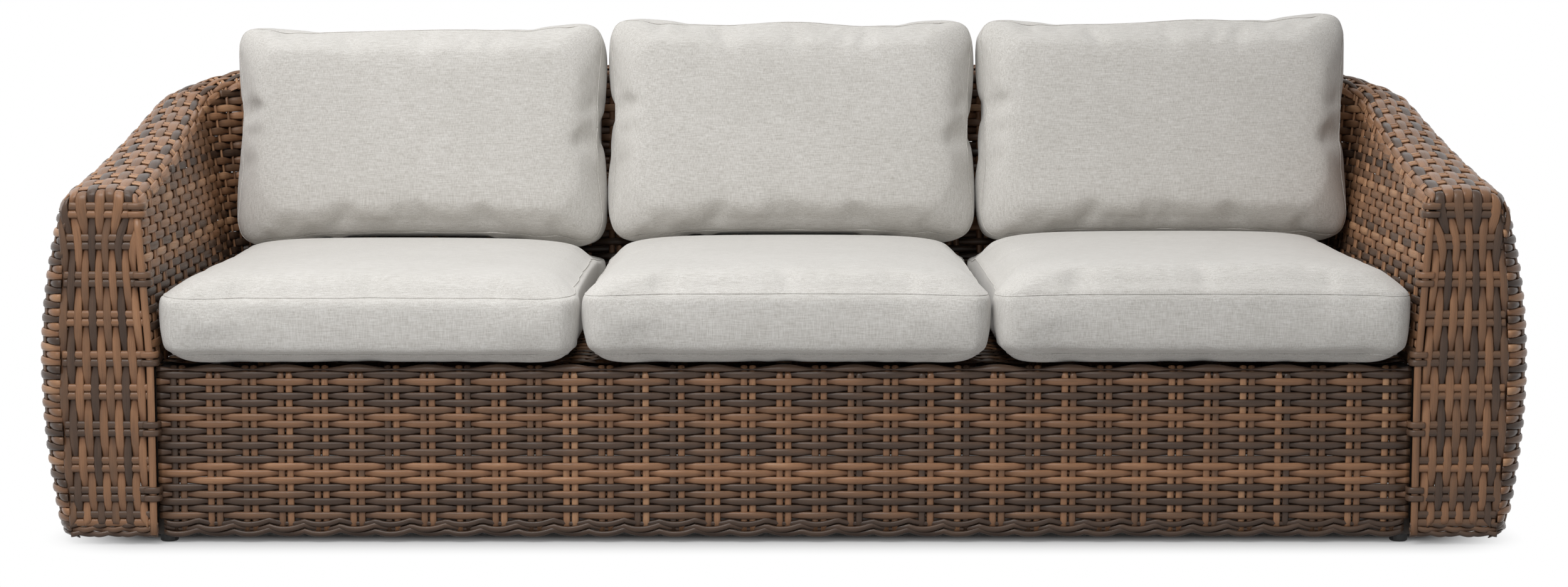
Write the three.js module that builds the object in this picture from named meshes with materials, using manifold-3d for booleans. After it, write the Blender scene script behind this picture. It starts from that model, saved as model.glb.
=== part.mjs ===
// Three-seat woven garden sofa with loose cushions.
// Millimetres, +Z up. The sofa faces -Y. The origin is on the ground under its middle.
import * as THREE from 'three';
import { mergeVertices } from 'three/addons/utils/BufferGeometryUtils.js';
import Module from 'manifold-3d';

const wasm = await Module();
wasm.setup();

const degrees = THREE.MathUtils.degToRad;
const lerp = THREE.MathUtils.lerp;

// Overall sizes
const OVERALL_WIDTH = 2300;
const OVERALL_DEPTH = 940;
const ARM_HEIGHT = 547;
const BACK_HEIGHT = 712;
const SEAT_HEIGHT = 278;
const GROUND_GAP = 12;

// Gaps between pieces that touch, and the wider one between the weave and the hoops under it
const GAP = 0.3;
const SKIN_GAP = 0.6;

// Shell in plan: a line along both arms and the back, with the barrel sides swelling out of it
const BARREL_BULGE = 48;
const BULGE_HEIGHT = 262;
const BASE_TUCK = 30;
const CORNER_RADIUS = 175;
const CUSHION_OVERHANG = 12;
const APRON_RECESS = 20;

// Front ends of the arms, where sides and top round over to the flat face
const FRONT_BULGE_SHARE = 0.4;
const FRONT_TUCK = 18;
const FRONT_ROUND_RUN = 90;
const TOP_TUCK = 3;
const INNER_TUCK = 3;

// Climb of the top edge from the arms to the back
const CLIMB_EARLY = 45;
const CLIMB_POWER = 1.5;
const CLIMB_BLEND = 14;

// Section of the shell
const SKIN = 8;
const SEAT_INSET = 145;
const ARM_LEAN = degrees(3.8);
const BACK_LEAN = degrees(9);
const OUTER_ROUND = 34;
const INNER_ROUND = 26;
const TOP_CROWN = 3;
const BASE_ROUND = 12;
const BASE_LIP = 30;
const APRON_ROUND = 14;
const APRON_LIP = 48;

// Frame tubes
const HOOP_TUBE = 20;
const HOOP_BEND = 24;
const SEAT_TUBE = 28;
const WALL = 1.5;
const BEND_STEPS = 3;
const REAR_ARM_HOOP_SHARE = 0.93;
const BACK_HOOP_INSET = 40;
const CORNER_RAIL_BEND = 112;
const TOP_RAIL_DROP = 3;
const BEARER_COUNT = 4;

// Glides
const GLIDE_RADIUS = 14;
const GLIDE_EDGE = 2;
const GLIDE_PLUG = 20;
const GLIDE_SIDES = 16;

// Cushions
const CUSHION_COUNT = 3;
const COVER_CLOTH = 3;
const FOAM_GAP = 0.5;
const CUSHION_CORNER = 42;
const DRAW_IN = 5;
const BOX_BULGE = 6;
const SEAT_BOX = 90;
const SEAT_UNDERSIDE = 21;
const SEAT_CROWN = 47;
const BACK_CUSHION_HEIGHT = 385;
const BACK_BOX = 98;
const BACK_UNDERSIDE = 24;
const BACK_CROWN = 48;
const ZIP_SLIT = 4;
const ZIP_LENGTH_SHARE = 0.7;

// Worked out from the sizes above
const ARM_FRONT = CUSHION_OVERHANG - OVERALL_DEPTH / 2;
const PLAN_X = OVERALL_WIDTH / 2 - BARREL_BULGE;
const PLAN_BACK = OVERALL_DEPTH / 2 - BARREL_BULGE;
const ARM_RUN = PLAN_BACK - CORNER_RADIUS - ARM_FRONT;
const ARC_RUN = CORNER_RADIUS * Math.PI / 2;
const PLAN_LENGTH = 2 * (ARM_RUN + ARC_RUN + PLAN_X - CORNER_RADIUS);
const CLIMB_RUN = ARM_RUN + ARC_RUN - CLIMB_EARLY;
const INNER_X = PLAN_X - SEAT_INSET;
const INNER_BACK = PLAN_BACK - SEAT_INSET;
const APRON_FRONT = ARM_FRONT + APRON_RECESS;
const SHELL_START = APRON_RECESS + SKIN_GAP;
const HOOP_DEPTH = SKIN + SKIN_GAP + HOOP_TUBE / 2;
const DECK_UNDERSIDE = SEAT_HEIGHT - SKIN;

const weave = new THREE.MeshStandardMaterial({ color: 0x6b5746, roughness: 0.55, metalness: 0 });
const frameMetal = new THREE.MeshStandardMaterial({ color: 0x2f2a26, roughness: 0.45, metalness: 0.6 });
const glidePlastic = new THREE.MeshStandardMaterial({ color: 0x17171a, roughness: 0.5, metalness: 0 });
const cushionCloth = new THREE.MeshStandardMaterial({ color: 0xd8d4cb, roughness: 0.92, metalness: 0 });
const foam = new THREE.MeshStandardMaterial({ color: 0xe8dfc0, roughness: 0.95, metalness: 0 });

const sofa = new THREE.Group();

function addMesh(name, geometry, material, parent = sofa) {
  const mesh = new THREE.Mesh(geometry, material.clone());
  mesh.name = name;
  parent.add(mesh);
  return mesh;
}

// Closed bodies from points and triangles

function bodyFrom(points, triangles) {
  const geometry = new THREE.BufferGeometry().setFromPoints(points);
  const [a, b, c] = [new THREE.Vector3(), new THREE.Vector3(), new THREE.Vector3()];
  let volume = 0;
  for (const [i, j, k] of triangles) {
    volume += a.copy(points[i]).dot(b.copy(points[j]).cross(c.copy(points[k])));
  }
  const outward = volume > 0 ? triangles : triangles.map(([i, j, k]) => [i, k, j]);
  geometry.setIndex(outward.flat());
  return geometry;
}

// Sides of a body between rings that all hold the same number of points.
function bandTriangles(ringCount, pointCount) {
  const triangles = [];
  for (let ring = 0; ring < ringCount - 1; ring += 1) {
    for (let point = 0; point < pointCount; point += 1) {
      const next = (point + 1) % pointCount;
      const [a, b] = [ring * pointCount + point, ring * pointCount + next];
      triangles.push([a, b, b + pointCount], [a, b + pointCount, a + pointCount]);
    }
  }
  return triangles;
}

// Lofts one flat closed outline per station into a body. Each station places its outline in space.
function loft(stations) {
  const count = stations[0].outline.length;
  const points = stations.flatMap(({ outline, place }) => outline.map(place));
  const triangles = bandTriangles(stations.length, count);
  const cap = (station, start, along) => {
    const turn = Math.sign(THREE.ShapeUtils.area(station.outline));
    for (const face of THREE.ShapeUtils.triangulateShape(station.outline, [])) {
      const [i, j, k] = face;
      const area = THREE.ShapeUtils.area([station.outline[i], station.outline[j], station.outline[k]]);
      const ordered = Math.sign(area) === turn * along ? [i, j, k] : [i, k, j];
      triangles.push(ordered.map((index) => start + index));
    }
  };
  cap(stations[0], 0, -1);
  cap(stations[stations.length - 1], (stations.length - 1) * count, 1);
  return bodyFrom(points, triangles);
}

// Stacks closed rings into a body whose two ends run to a point in the middle.
function stackRings(rings, bottom, top) {
  const count = rings[0].length;
  const points = [...rings.flat(), bottom, top];
  const triangles = bandTriangles(rings.length, count);
  const last = (rings.length - 1) * count;
  for (let point = 0; point < count; point += 1) {
    const next = (point + 1) % count;
    triangles.push([next, point, points.length - 2]);
    triangles.push([last + point, last + next, points.length - 1]);
  }
  return bodyFrom(points, triangles);
}

function toSolid(geometry) {
  const bare = geometry.clone();
  bare.deleteAttribute('normal');
  bare.deleteAttribute('uv');
  const merged = mergeVertices(bare);
  const vertProperties = new Float32Array(merged.getAttribute('position').array);
  const triVerts = new Uint32Array(merged.getIndex().array);
  return new wasm.Manifold(new wasm.Mesh({ numProp: 3, vertProperties, triVerts }));
}

function fromSolid(solid) {
  const mesh = solid.getMesh();
  const geometry = new THREE.BufferGeometry();
  geometry.setAttribute('position', new THREE.Float32BufferAttribute(mesh.vertProperties, mesh.numProp));
  geometry.setIndex(Array.from(mesh.triVerts));
  return geometry;
}

// Plan line, walked from the front of the left arm round the back to the front of the right arm

function planFrame(walked) {
  const mirrored = walked > PLAN_LENGTH / 2;
  const run = mirrored ? PLAN_LENGTH - walked : walked;
  const side = mirrored ? -1 : 1;
  if (run <= ARM_RUN) {
    return { run, x: -side * PLAN_X, y: ARM_FRONT + run, outX: -side, outY: 0 };
  }
  if (run <= ARM_RUN + ARC_RUN) {
    const turned = (run - ARM_RUN) / CORNER_RADIUS;
    const x = CORNER_RADIUS - PLAN_X - CORNER_RADIUS * Math.cos(turned);
    const y = PLAN_BACK - CORNER_RADIUS + CORNER_RADIUS * Math.sin(turned);
    return { run, x: side * x, y, outX: -side * Math.cos(turned), outY: Math.sin(turned) };
  }
  const x = CORNER_RADIUS - PLAN_X + run - ARM_RUN - ARC_RUN;
  return { run, x: side * x, y: PLAN_BACK, outX: 0, outY: 1 };
}

// A section's points hold the reach out from the plan line, and the height.
function placeOnPlan(walked) {
  const frame = planFrame(walked);
  return ({ x: reach, y: height }) => new THREE.Vector3(
    frame.x + frame.outX * reach, frame.y + frame.outY * reach, height,
  );
}

const frontEase = (run, roundRun) => Math.sqrt(1 - Math.max(0, 1 - run / roundRun) ** 2);

function shellTop(run) {
  const climb = ARM_HEIGHT + (BACK_HEIGHT - ARM_HEIGHT) * (run / CLIMB_RUN) ** CLIMB_POWER;
  const edge = (climb + BACK_HEIGHT - Math.hypot(climb - BACK_HEIGHT, CLIMB_BLEND)) / 2;
  return edge - TOP_TUCK * (1 - frontEase(run, APRON_RECESS));
}

function outerReach(run, height) {
  const below = (BULGE_HEIGHT - height) / (BULGE_HEIGHT - GROUND_GAP);
  const above = (height - BULGE_HEIGHT) / (shellTop(run) - BULGE_HEIGHT);
  const swell = height < BULGE_HEIGHT
    ? BARREL_BULGE - BASE_TUCK * below ** 2
    : BARREL_BULGE * (1 - above ** 2);
  const ease = frontEase(run, FRONT_ROUND_RUN);
  return swell * lerp(FRONT_BULGE_SHARE, 1, ease) - FRONT_TUCK * (1 - ease);
}

const innerLean = (run) => lerp(ARM_LEAN, BACK_LEAN, Math.min(1, run / ARM_RUN));

function innerReach(run, height) {
  const leaned = Math.max(0, height - SEAT_HEIGHT) * Math.tan(innerLean(run));
  return leaned - SEAT_INSET + INNER_TUCK * (1 - frontEase(run, APRON_RECESS));
}

// Section of the shell at one station: lip, outer wall, top, and the straight inner wall down to the seat

const LOWER_ROW_SHARES = [0, 0.35, 0.7, 1];
const UPPER_ROW_SHARES = [0.3, 0.58, 0.82, 1];
const BASE_ROUND_SHARES = [0, 0.5];
const ROUND_SHARES = [0, 0.25, 0.5, 0.75, 1];

function outerWall(run) {
  const base = GROUND_GAP + BASE_ROUND;
  const heights = [
    ...LOWER_ROW_SHARES.map((share) => lerp(base, BULGE_HEIGHT, share)),
    ...UPPER_ROW_SHARES.map((share) => lerp(BULGE_HEIGHT, shellTop(run) - OUTER_ROUND, share)),
  ];
  return heights.map((height) => new THREE.Vector2(outerReach(run, height), height));
}

// The wall's foot turns under the shell as a short lip.
function baseLip(run) {
  const reach = outerReach(run, GROUND_GAP + BASE_ROUND);
  const lip = [new THREE.Vector2(reach - BASE_LIP, GROUND_GAP)];
  for (const share of BASE_ROUND_SHARES) {
    const turned = share * Math.PI / 2;
    const inward = BASE_ROUND * (1 - Math.sin(turned));
    const rise = BASE_ROUND * (1 - Math.cos(turned));
    lip.push(new THREE.Vector2(reach - inward, GROUND_GAP + rise));
  }
  return lip;
}

function roundedEdge(start, corner, end) {
  const curve = new THREE.QuadraticBezierCurve(start, corner, end);
  return ROUND_SHARES.map((share) => curve.getPoint(share));
}

function topLine(run) {
  const top = shellTop(run);
  const outerFoot = new THREE.Vector2(outerReach(run, top - OUTER_ROUND), top - OUTER_ROUND);
  const outerCorner = new THREE.Vector2(outerReach(run, top), top);
  const outerEnd = new THREE.Vector2(outerCorner.x - OUTER_ROUND, top);
  const innerCorner = new THREE.Vector2(innerReach(run, top), top);
  const innerStart = new THREE.Vector2(innerCorner.x + INNER_ROUND, top);
  const innerFoot = new THREE.Vector2(innerReach(run, top - INNER_ROUND), top - INNER_ROUND);
  const crown = new THREE.Vector2((outerEnd.x + innerStart.x) / 2, top + TOP_CROWN);
  return [
    ...roundedEdge(outerFoot, outerCorner, outerEnd),
    crown,
    ...roundedEdge(innerStart, innerCorner, innerFoot),
  ];
}

// Moves each straight stretch of a line inward by a distance, and joins the stretches again.
function inset(line, distance) {
  const normals = line.slice(1).map((point, index) => {
    const along = point.clone().sub(line[index]).normalize();
    return new THREE.Vector2(-along.y, along.x);
  });
  return line.map((point, index) => {
    const before = normals[Math.max(0, index - 1)];
    const after = normals[Math.min(normals.length - 1, index)];
    const middle = before.clone().add(after).normalize();
    return point.clone().addScaledVector(middle, distance / middle.dot(before));
  });
}

// The whole section as one line, from the lip under the outer wall to the foot of the inner wall.
function sectionLine(run) {
  const innerFoot = new THREE.Vector2(innerReach(run, SEAT_HEIGHT), SEAT_HEIGHT);
  return [...baseLip(run), ...outerWall(run), ...topLine(run).slice(1), innerFoot];
}

// Draws a line's ends back by the gap, so that neighbouring fields of weave don't touch.
function trimmed(line, startGap, endGap) {
  const result = line.map((point) => point.clone());
  const last = result.length - 1;
  result[0].add(line[1].clone().sub(line[0]).setLength(startGap));
  result[last].add(line[last - 1].clone().sub(line[last]).setLength(endGap));
  return result;
}

// Stations along the plan line

const FRONT_STATION_SHARES = [0.42, 0.65, 1];
const ARM_STATION_SHARES = [0.25, 0.5, 0.75, 1];
const CORNER_STATIONS = 6;
const BACK_STATION_SHARES = [0.12, 0.3, 0.6, 1];

const frontHoopRun = SHELL_START;
const rearHoopRun = ARM_RUN * REAR_ARM_HOOP_SHARE - HOOP_TUBE / 2;
const backHoopRun = ARM_RUN + ARC_RUN + BACK_HOOP_INSET - HOOP_TUBE / 2;
const middleHoopRun = PLAN_LENGTH / 2 - HOOP_TUBE / 2;

const mirroredRuns = (runs) => runs.map((run) => PLAN_LENGTH - run).reverse();

function armRuns() {
  return [
    SHELL_START,
    ...FRONT_STATION_SHARES.map((share) => FRONT_ROUND_RUN * share),
    ...ARM_STATION_SHARES.map((share) => lerp(FRONT_ROUND_RUN, rearHoopRun, share)),
    rearHoopRun + HOOP_TUBE,
    ARM_RUN - GAP,
  ];
}

function backRuns() {
  const cornerRun = (_, index) => ARM_RUN + ARC_RUN * (index + 1) / CORNER_STATIONS;
  const firstHalf = [
    ARM_RUN + GAP,
    ...Array.from({ length: CORNER_STATIONS }, cornerRun),
    backHoopRun,
    ...BACK_STATION_SHARES.map((share) => lerp(backHoopRun + HOOP_TUBE, middleHoopRun, share)),
  ];
  return [...firstHalf, ...mirroredRuns(firstHalf)];
}

// Woven fields of the shell

const WALL_POINTS = BASE_ROUND_SHARES.length + LOWER_ROW_SHARES.length + UPPER_ROW_SHARES.length;
const TOP_POINTS = 2 * ROUND_SHARES.length;
const TOP_END = WALL_POINTS + TOP_POINTS;
const FIELDS = [
  { arm: 'arm_side_weave', back: 'back_outer_weave', from: 0, to: WALL_POINTS, startGap: 0 },
  { arm: 'arm_top_weave', back: 'back_top_weave', from: WALL_POINTS, to: TOP_END, startGap: GAP },
  { arm: 'arm_inner_weave', back: 'back_inner_weave', from: TOP_END, startGap: GAP },
];

// A field's section is one stretch of the shell's line with the same stretch of its inner side. The
// leaning foot of the inner wall is cut back further, so that its hidden edge clears the deck.
function skinStations(walkedList, field) {
  return walkedList.map((walked) => {
    const { run } = planFrame(walked);
    const line = sectionLine(run);
    const to = (field.to ?? line.length - 1) + 1;
    const endGap = field.to ? GAP : GAP + SKIN * Math.tan(innerLean(run));
    const stretch = (side) => trimmed(side.slice(field.from, to), field.startGap, endGap);
    const outline = [...stretch(line), ...stretch(inset(line, SKIN)).reverse()];
    return { outline, place: placeOnPlan(walked) };
  });
}

function addSkins() {
  for (const field of FIELDS) {
    addMesh(`${field.arm}_left`, loft(skinStations(armRuns(), field)), weave);
    addMesh(`${field.arm}_right`, loft(skinStations(mirroredRuns(armRuns()), field)), weave);
    addMesh(field.back, loft(skinStations(backRuns(), field)), weave);
  }
}

// The arm's front is a padded woven panel whose edges round over to the sides and the top.
const FRONT_PANEL_SHARES = [0, 0.1, 0.4, 1];

function armFrontOutline(run) {
  const foot = new THREE.Vector2(innerReach(run, GROUND_GAP), GROUND_GAP);
  return [foot, ...sectionLine(run).slice(1)];
}

function addArmFronts() {
  const runs = FRONT_PANEL_SHARES.map((share) => APRON_RECESS * share);
  const stations = (walkedList) => walkedList.map((walked) => (
    { outline: armFrontOutline(planFrame(walked).run), place: placeOnPlan(walked) }
  ));
  addMesh('arm_front_weave_left', loft(stations(runs)), weave);
  addMesh('arm_front_weave_right', loft(stations(mirroredRuns(runs))), weave);
}

// Flat profile, given as depth and height, run from side to side of the sofa.
function extrudeAcross(shape, length) {
  const settings = { depth: length, bevelEnabled: false, curveSegments: BEND_STEPS };
  const geometry = new THREE.ExtrudeGeometry(shape, settings);
  geometry.translate(0, 0, -length / 2);
  const depthAndHeight = new THREE.Matrix4().makeBasis(
    new THREE.Vector3(0, 1, 0), new THREE.Vector3(0, 0, 1), new THREE.Vector3(1, 0, 0),
  );
  return geometry.applyMatrix4(depthAndHeight);
}

function addApron() {
  const back = APRON_FRONT + SKIN;
  const roundFoot = SEAT_HEIGHT - APRON_ROUND;
  const shape = new THREE.Shape();
  shape.moveTo(APRON_FRONT, GROUND_GAP);
  shape.lineTo(APRON_FRONT, roundFoot);
  shape.absarc(APRON_FRONT + APRON_ROUND, roundFoot, APRON_ROUND, Math.PI, Math.PI / 2, true);
  shape.lineTo(APRON_FRONT + APRON_LIP, SEAT_HEIGHT);
  shape.lineTo(APRON_FRONT + APRON_LIP, DECK_UNDERSIDE);
  shape.lineTo(back, DECK_UNDERSIDE);
  shape.lineTo(back, GROUND_GAP);
  shape.closePath();
  addMesh('apron_weave', extrudeAcross(shape, 2 * (INNER_X - SKIN_GAP)), weave);
}

// The deck's rear corners follow the inner corners of the shell.
function addDeck() {
  const halfWidth = INNER_X + SKIN;
  const rear = INNER_BACK + SKIN;
  const corner = CORNER_RADIUS - SEAT_INSET + SKIN;
  const front = APRON_FRONT + APRON_LIP + GAP;
  const shape = new THREE.Shape();
  shape.moveTo(-halfWidth, front);
  shape.lineTo(halfWidth, front);
  shape.lineTo(halfWidth, rear - corner);
  shape.absarc(halfWidth - corner, rear - corner, corner, 0, Math.PI / 2, false);
  shape.lineTo(corner - halfWidth, rear);
  shape.absarc(corner - halfWidth, rear - corner, corner, Math.PI / 2, Math.PI, false);
  shape.closePath();
  const settings = { depth: SKIN, bevelEnabled: false, curveSegments: BEND_STEPS };
  const mesh = addMesh('seat_deck_weave', new THREE.ExtrudeGeometry(shape, settings), weave);
  mesh.position.z = DECK_UNDERSIDE;
}

// Square tubes

function squareTubeShape(size) {
  const square = (half) => [
    new THREE.Vector2(-half, -half), new THREE.Vector2(half, -half),
    new THREE.Vector2(half, half), new THREE.Vector2(-half, half),
  ];
  const shape = new THREE.Shape(square(size / 2));
  shape.holes.push(new THREE.Path(square(size / 2 - WALL)));
  return shape;
}

function straightTube(size, from, to) {
  const length = from.distanceTo(to);
  const geometry = new THREE.ExtrudeGeometry(squareTubeShape(size), { depth: length, bevelEnabled: false });
  const along = to.clone().sub(from).normalize();
  const across = Math.abs(along.z) > Math.SQRT1_2 ? new THREE.Vector3(1, 0, 0) : new THREE.Vector3(0, 0, 1);
  const third = along.clone().cross(across);
  const turn = new THREE.Matrix4().makeBasis(across, third, along);
  return geometry.applyMatrix4(turn.setPosition(from));
}

// A curve that keeps to its own points, so that a tube's sections stand exactly on them.
class BentLine extends THREE.Curve {
  constructor(points, startTangent = null, endTangent = null) {
    super();
    this.points = points;
    this.startTangent = startTangent;
    this.endTangent = endTangent;
  }

  getPoint(share) {
    const place = share * (this.points.length - 1);
    const index = Math.min(Math.floor(place), this.points.length - 2);
    return this.points[index].clone().lerp(this.points[index + 1], place - index);
  }

  getSpacedPoints() {
    return this.points.map((point) => point.clone());
  }

  getTangentAt(share) {
    const last = this.points.length - 1;
    const index = Math.round(share * last);
    if (index === 0 && this.startTangent) return this.startTangent.clone();
    if (index === last && this.endTangent) return this.endTangent.clone();
    const here = this.points[index];
    const tangent = new THREE.Vector3();
    if (index > 0) tangent.add(here.clone().sub(this.points[index - 1]).normalize());
    if (index < last) tangent.add(this.points[index + 1].clone().sub(here).normalize());
    return tangent.normalize();
  }
}

function bentTube(size, line) {
  return new THREE.ExtrudeGeometry(squareTubeShape(size), {
    extrudePath: line, steps: line.points.length - 1, bevelEnabled: false,
  });
}

// Rounds the sharp corners of a flat line to the bend radius and leaves its slight kinks.
const SLIGHT_KINK = degrees(25);

function withBends(line, radius) {
  const result = [line[0]];
  for (let index = 1; index < line.length - 1; index += 1) {
    const corner = line[index];
    const into = corner.clone().sub(line[index - 1]).normalize();
    const onward = line[index + 1].clone().sub(corner).normalize();
    const turn = Math.atan2(into.cross(onward), into.dot(onward));
    if (Math.abs(turn) < SLIGHT_KINK) {
      result.push(corner);
      continue;
    }
    const cut = radius * Math.tan(Math.abs(turn) / 2);
    const start = corner.clone().addScaledVector(into, -cut);
    const sideways = new THREE.Vector2(-into.y, into.x).multiplyScalar(radius * Math.sign(turn));
    const centre = start.clone().add(sideways);
    for (let step = 0; step <= BEND_STEPS; step += 1) {
      result.push(start.clone().rotateAround(centre, turn * step / BEND_STEPS));
    }
  }
  result.push(line[line.length - 1]);
  return result;
}

// Hoops of bent tube under the weave

function atHeight(from, to, height) {
  return from.clone().lerp(to, (height - from.y) / (to.y - from.y));
}

// The corners of a hoop's middle line at a station. Its outer side follows the shell at the hoop's
// front face, and its inner side follows it at the rear face, where the shell is tighter.
function hoopCorners(run) {
  const leg = inset(outerWall(run), HOOP_DEPTH);
  const base = GROUND_GAP + HOOP_DEPTH;
  const top = shellTop(run) - HOOP_DEPTH;
  const rearFace = run + HOOP_TUBE;
  const innerX = innerReach(rearFace, top) + HOOP_DEPTH / Math.cos(innerLean(rearFace));
  return {
    baseStart: new THREE.Vector2(HOOP_DEPTH - HOOP_TUBE / 2 - SEAT_INSET, base),
    baseCorner: atHeight(leg[0], leg[1], base),
    leg: leg.slice(1, -1),
    topOuter: atHeight(leg[leg.length - 2], leg[leg.length - 1], top),
    topInner: new THREE.Vector2(innerX, top),
    seat: new THREE.Vector2(HOOP_DEPTH - SEAT_INSET, SEAT_HEIGHT),
    foot: new THREE.Vector2(HOOP_DEPTH - SEAT_INSET, base + HOOP_TUBE / 2 + GAP),
  };
}

function hoopLine(run) {
  const corners = hoopCorners(run);
  const line = [
    corners.baseStart, corners.baseCorner, ...corners.leg, corners.topOuter, corners.topInner,
    corners.seat, corners.foot,
  ];
  return withBends(line, HOOP_BEND);
}

function addHoop(name, run, mirrored) {
  const centre = run + HOOP_TUBE / 2;
  const place = placeOnPlan(mirrored ? PLAN_LENGTH - centre : centre);
  addMesh(name, bentTube(HOOP_TUBE, new BentLine(hoopLine(run).map(place))), frameMetal);
}

function addHoops() {
  for (const [side, mirrored] of [['left', false], ['right', true]]) {
    addHoop(`arm_hoop_front_${side}`, frontHoopRun, mirrored);
    addHoop(`arm_hoop_rear_${side}`, rearHoopRun, mirrored);
    addHoop(`back_hoop_${side}`, backHoopRun, mirrored);
  }
  addHoop('back_hoop_middle', middleHoopRun, false);
}

// Rails that tie the hoops. They butt against the hoops' sides in the middle of their top and base runs.

function topRunMiddle(run) {
  const { topOuter, topInner } = hoopCorners(run);
  const middle = topOuter.clone().lerp(topInner, 0.5);
  return new THREE.Vector2(middle.x, middle.y - TOP_RAIL_DROP);
}

function baseRunMiddle(run) {
  const { baseStart, baseCorner } = hoopCorners(run);
  return baseStart.clone().lerp(baseCorner, 0.5);
}

function addArmTopRail(side, mirrored) {
  const walk = (run) => (mirrored ? PLAN_LENGTH - run : run);
  const start = topRunMiddle(frontHoopRun);
  const end = topRunMiddle(rearHoopRun);
  const firstRun = frontHoopRun + 2 * HOOP_TUBE;
  const runs = armRuns().filter((run) => run > firstRun && run < rearHoopRun - HOOP_TUBE);
  const pointAt = (run, height) => placeOnPlan(walk(run))(new THREE.Vector2(end.x, height));
  const points = [
    pointAt(frontHoopRun + HOOP_TUBE + GAP, start.y),
    ...runs.map((run) => pointAt(run, shellTop(run) - HOOP_DEPTH - TOP_RAIL_DROP)),
    pointAt(rearHoopRun - GAP, end.y),
  ];
  const backward = new THREE.Vector3(0, 1, 0);
  addMesh(`arm_top_rail_${side}`, bentTube(HOOP_TUBE, new BentLine(points, backward, backward)), frameMetal);
}

function addBackRails(side, mirrored) {
  const walk = (run) => (mirrored ? PLAN_LENGTH - run : run);
  const startRun = backHoopRun + HOOP_TUBE + GAP;
  const endRun = middleHoopRun - GAP;
  const toMiddle = new THREE.Vector3(mirrored ? -1 : 1, 0, 0);
  const topStart = topRunMiddle(backHoopRun);
  const topEnd = new THREE.Vector2(topStart.x, topRunMiddle(middleHoopRun).y);
  const topPoints = [placeOnPlan(walk(startRun))(topStart), placeOnPlan(walk(endRun))(topEnd)];
  const spanLine = new BentLine(topPoints, toMiddle, toMiddle);
  addMesh(`back_top_rail_${side}`, bentTube(HOOP_TUBE, spanLine), frameMetal);
  const base = baseRunMiddle(backHoopRun);
  const from = placeOnPlan(walk(startRun))(base);
  const to = placeOnPlan(walk(endRun))(base);
  addMesh(`back_base_rail_${side}`, straightTube(HOOP_TUBE, from, to), frameMetal);
}

function addArmBaseRail(side, mirrored) {
  const walk = (run) => (mirrored ? PLAN_LENGTH - run : run);
  const base = baseRunMiddle(frontHoopRun);
  const from = placeOnPlan(walk(frontHoopRun + HOOP_TUBE + GAP))(base);
  const to = placeOnPlan(walk(rearHoopRun - GAP))(base);
  addMesh(`arm_base_rail_${side}`, straightTube(HOOP_TUBE, from, to), frameMetal);
}

// Bent flat round the rear corner, from the rear arm hoop to the outer back hoop.
function addCornerRail(side, mirrored) {
  const walk = (run) => (mirrored ? PLAN_LENGTH - run : run);
  const armMiddle = placeOnPlan(walk(rearHoopRun + HOOP_TUBE + GAP))(baseRunMiddle(rearHoopRun));
  const backMiddle = placeOnPlan(walk(backHoopRun - GAP))(baseRunMiddle(backHoopRun));
  const flat = withBends([
    new THREE.Vector2(armMiddle.x, armMiddle.y),
    new THREE.Vector2(armMiddle.x, backMiddle.y),
    new THREE.Vector2(backMiddle.x, backMiddle.y),
  ], CORNER_RAIL_BEND);
  const points = flat.map(({ x, y }) => new THREE.Vector3(x, y, armMiddle.z));
  addMesh(`corner_base_rail_${side}`, bentTube(HOOP_TUBE, new BentLine(points)), frameMetal);
}

function addTyingRails() {
  for (const [side, mirrored] of [['left', false], ['right', true]]) {
    addArmTopRail(side, mirrored);
    addArmBaseRail(side, mirrored);
    addBackRails(side, mirrored);
    addCornerRail(side, mirrored);
  }
}

// Seat frame: four legs, a rail on top of each pair, and bearers under the deck

const seatFrame = {
  halfWidth: INNER_X + SKIN,
  front: APRON_FRONT + SKIN + GAP,
  rear: INNER_BACK + SKIN,
  top: DECK_UNDERSIDE - GAP,
};
seatFrame.legX = seatFrame.halfWidth - SEAT_TUBE / 2;
seatFrame.frontRailY = seatFrame.front + SEAT_TUBE / 2;
seatFrame.rearRailY = seatFrame.rear - SEAT_TUBE / 2;
seatFrame.railZ = seatFrame.top - SEAT_TUBE / 2;

function addSeatRails() {
  const { halfWidth, legX, frontRailY, rearRailY, railZ } = seatFrame;
  const across = (y) => straightTube(
    SEAT_TUBE, new THREE.Vector3(-halfWidth, y, railZ), new THREE.Vector3(halfWidth, y, railZ),
  );
  addMesh('seat_rail_front', across(frontRailY), frameMetal);
  addMesh('seat_rail_rear', across(rearRailY), frameMetal);
  const from = frontRailY + SEAT_TUBE / 2 + GAP;
  const to = rearRailY - SEAT_TUBE / 2 - GAP;
  for (const [side, sign] of [['left', -1], ['right', 1]]) {
    const tube = straightTube(
      SEAT_TUBE, new THREE.Vector3(sign * legX, from, railZ), new THREE.Vector3(sign * legX, to, railZ),
    );
    addMesh(`seat_rail_${side}`, tube, frameMetal);
  }
}

function addBearers() {
  const { legX, frontRailY, rearRailY, top } = seatFrame;
  const from = frontRailY + SEAT_TUBE / 2 + GAP;
  const to = rearRailY - SEAT_TUBE / 2 - GAP;
  const z = top - HOOP_TUBE / 2;
  for (let index = 1; index <= BEARER_COUNT; index += 1) {
    const x = lerp(-legX, legX, index / (BEARER_COUNT + 1));
    const tube = straightTube(HOOP_TUBE, new THREE.Vector3(x, from, z), new THREE.Vector3(x, to, z));
    addMesh(`seat_bearer_${index}`, tube, frameMetal);
  }
}

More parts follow.
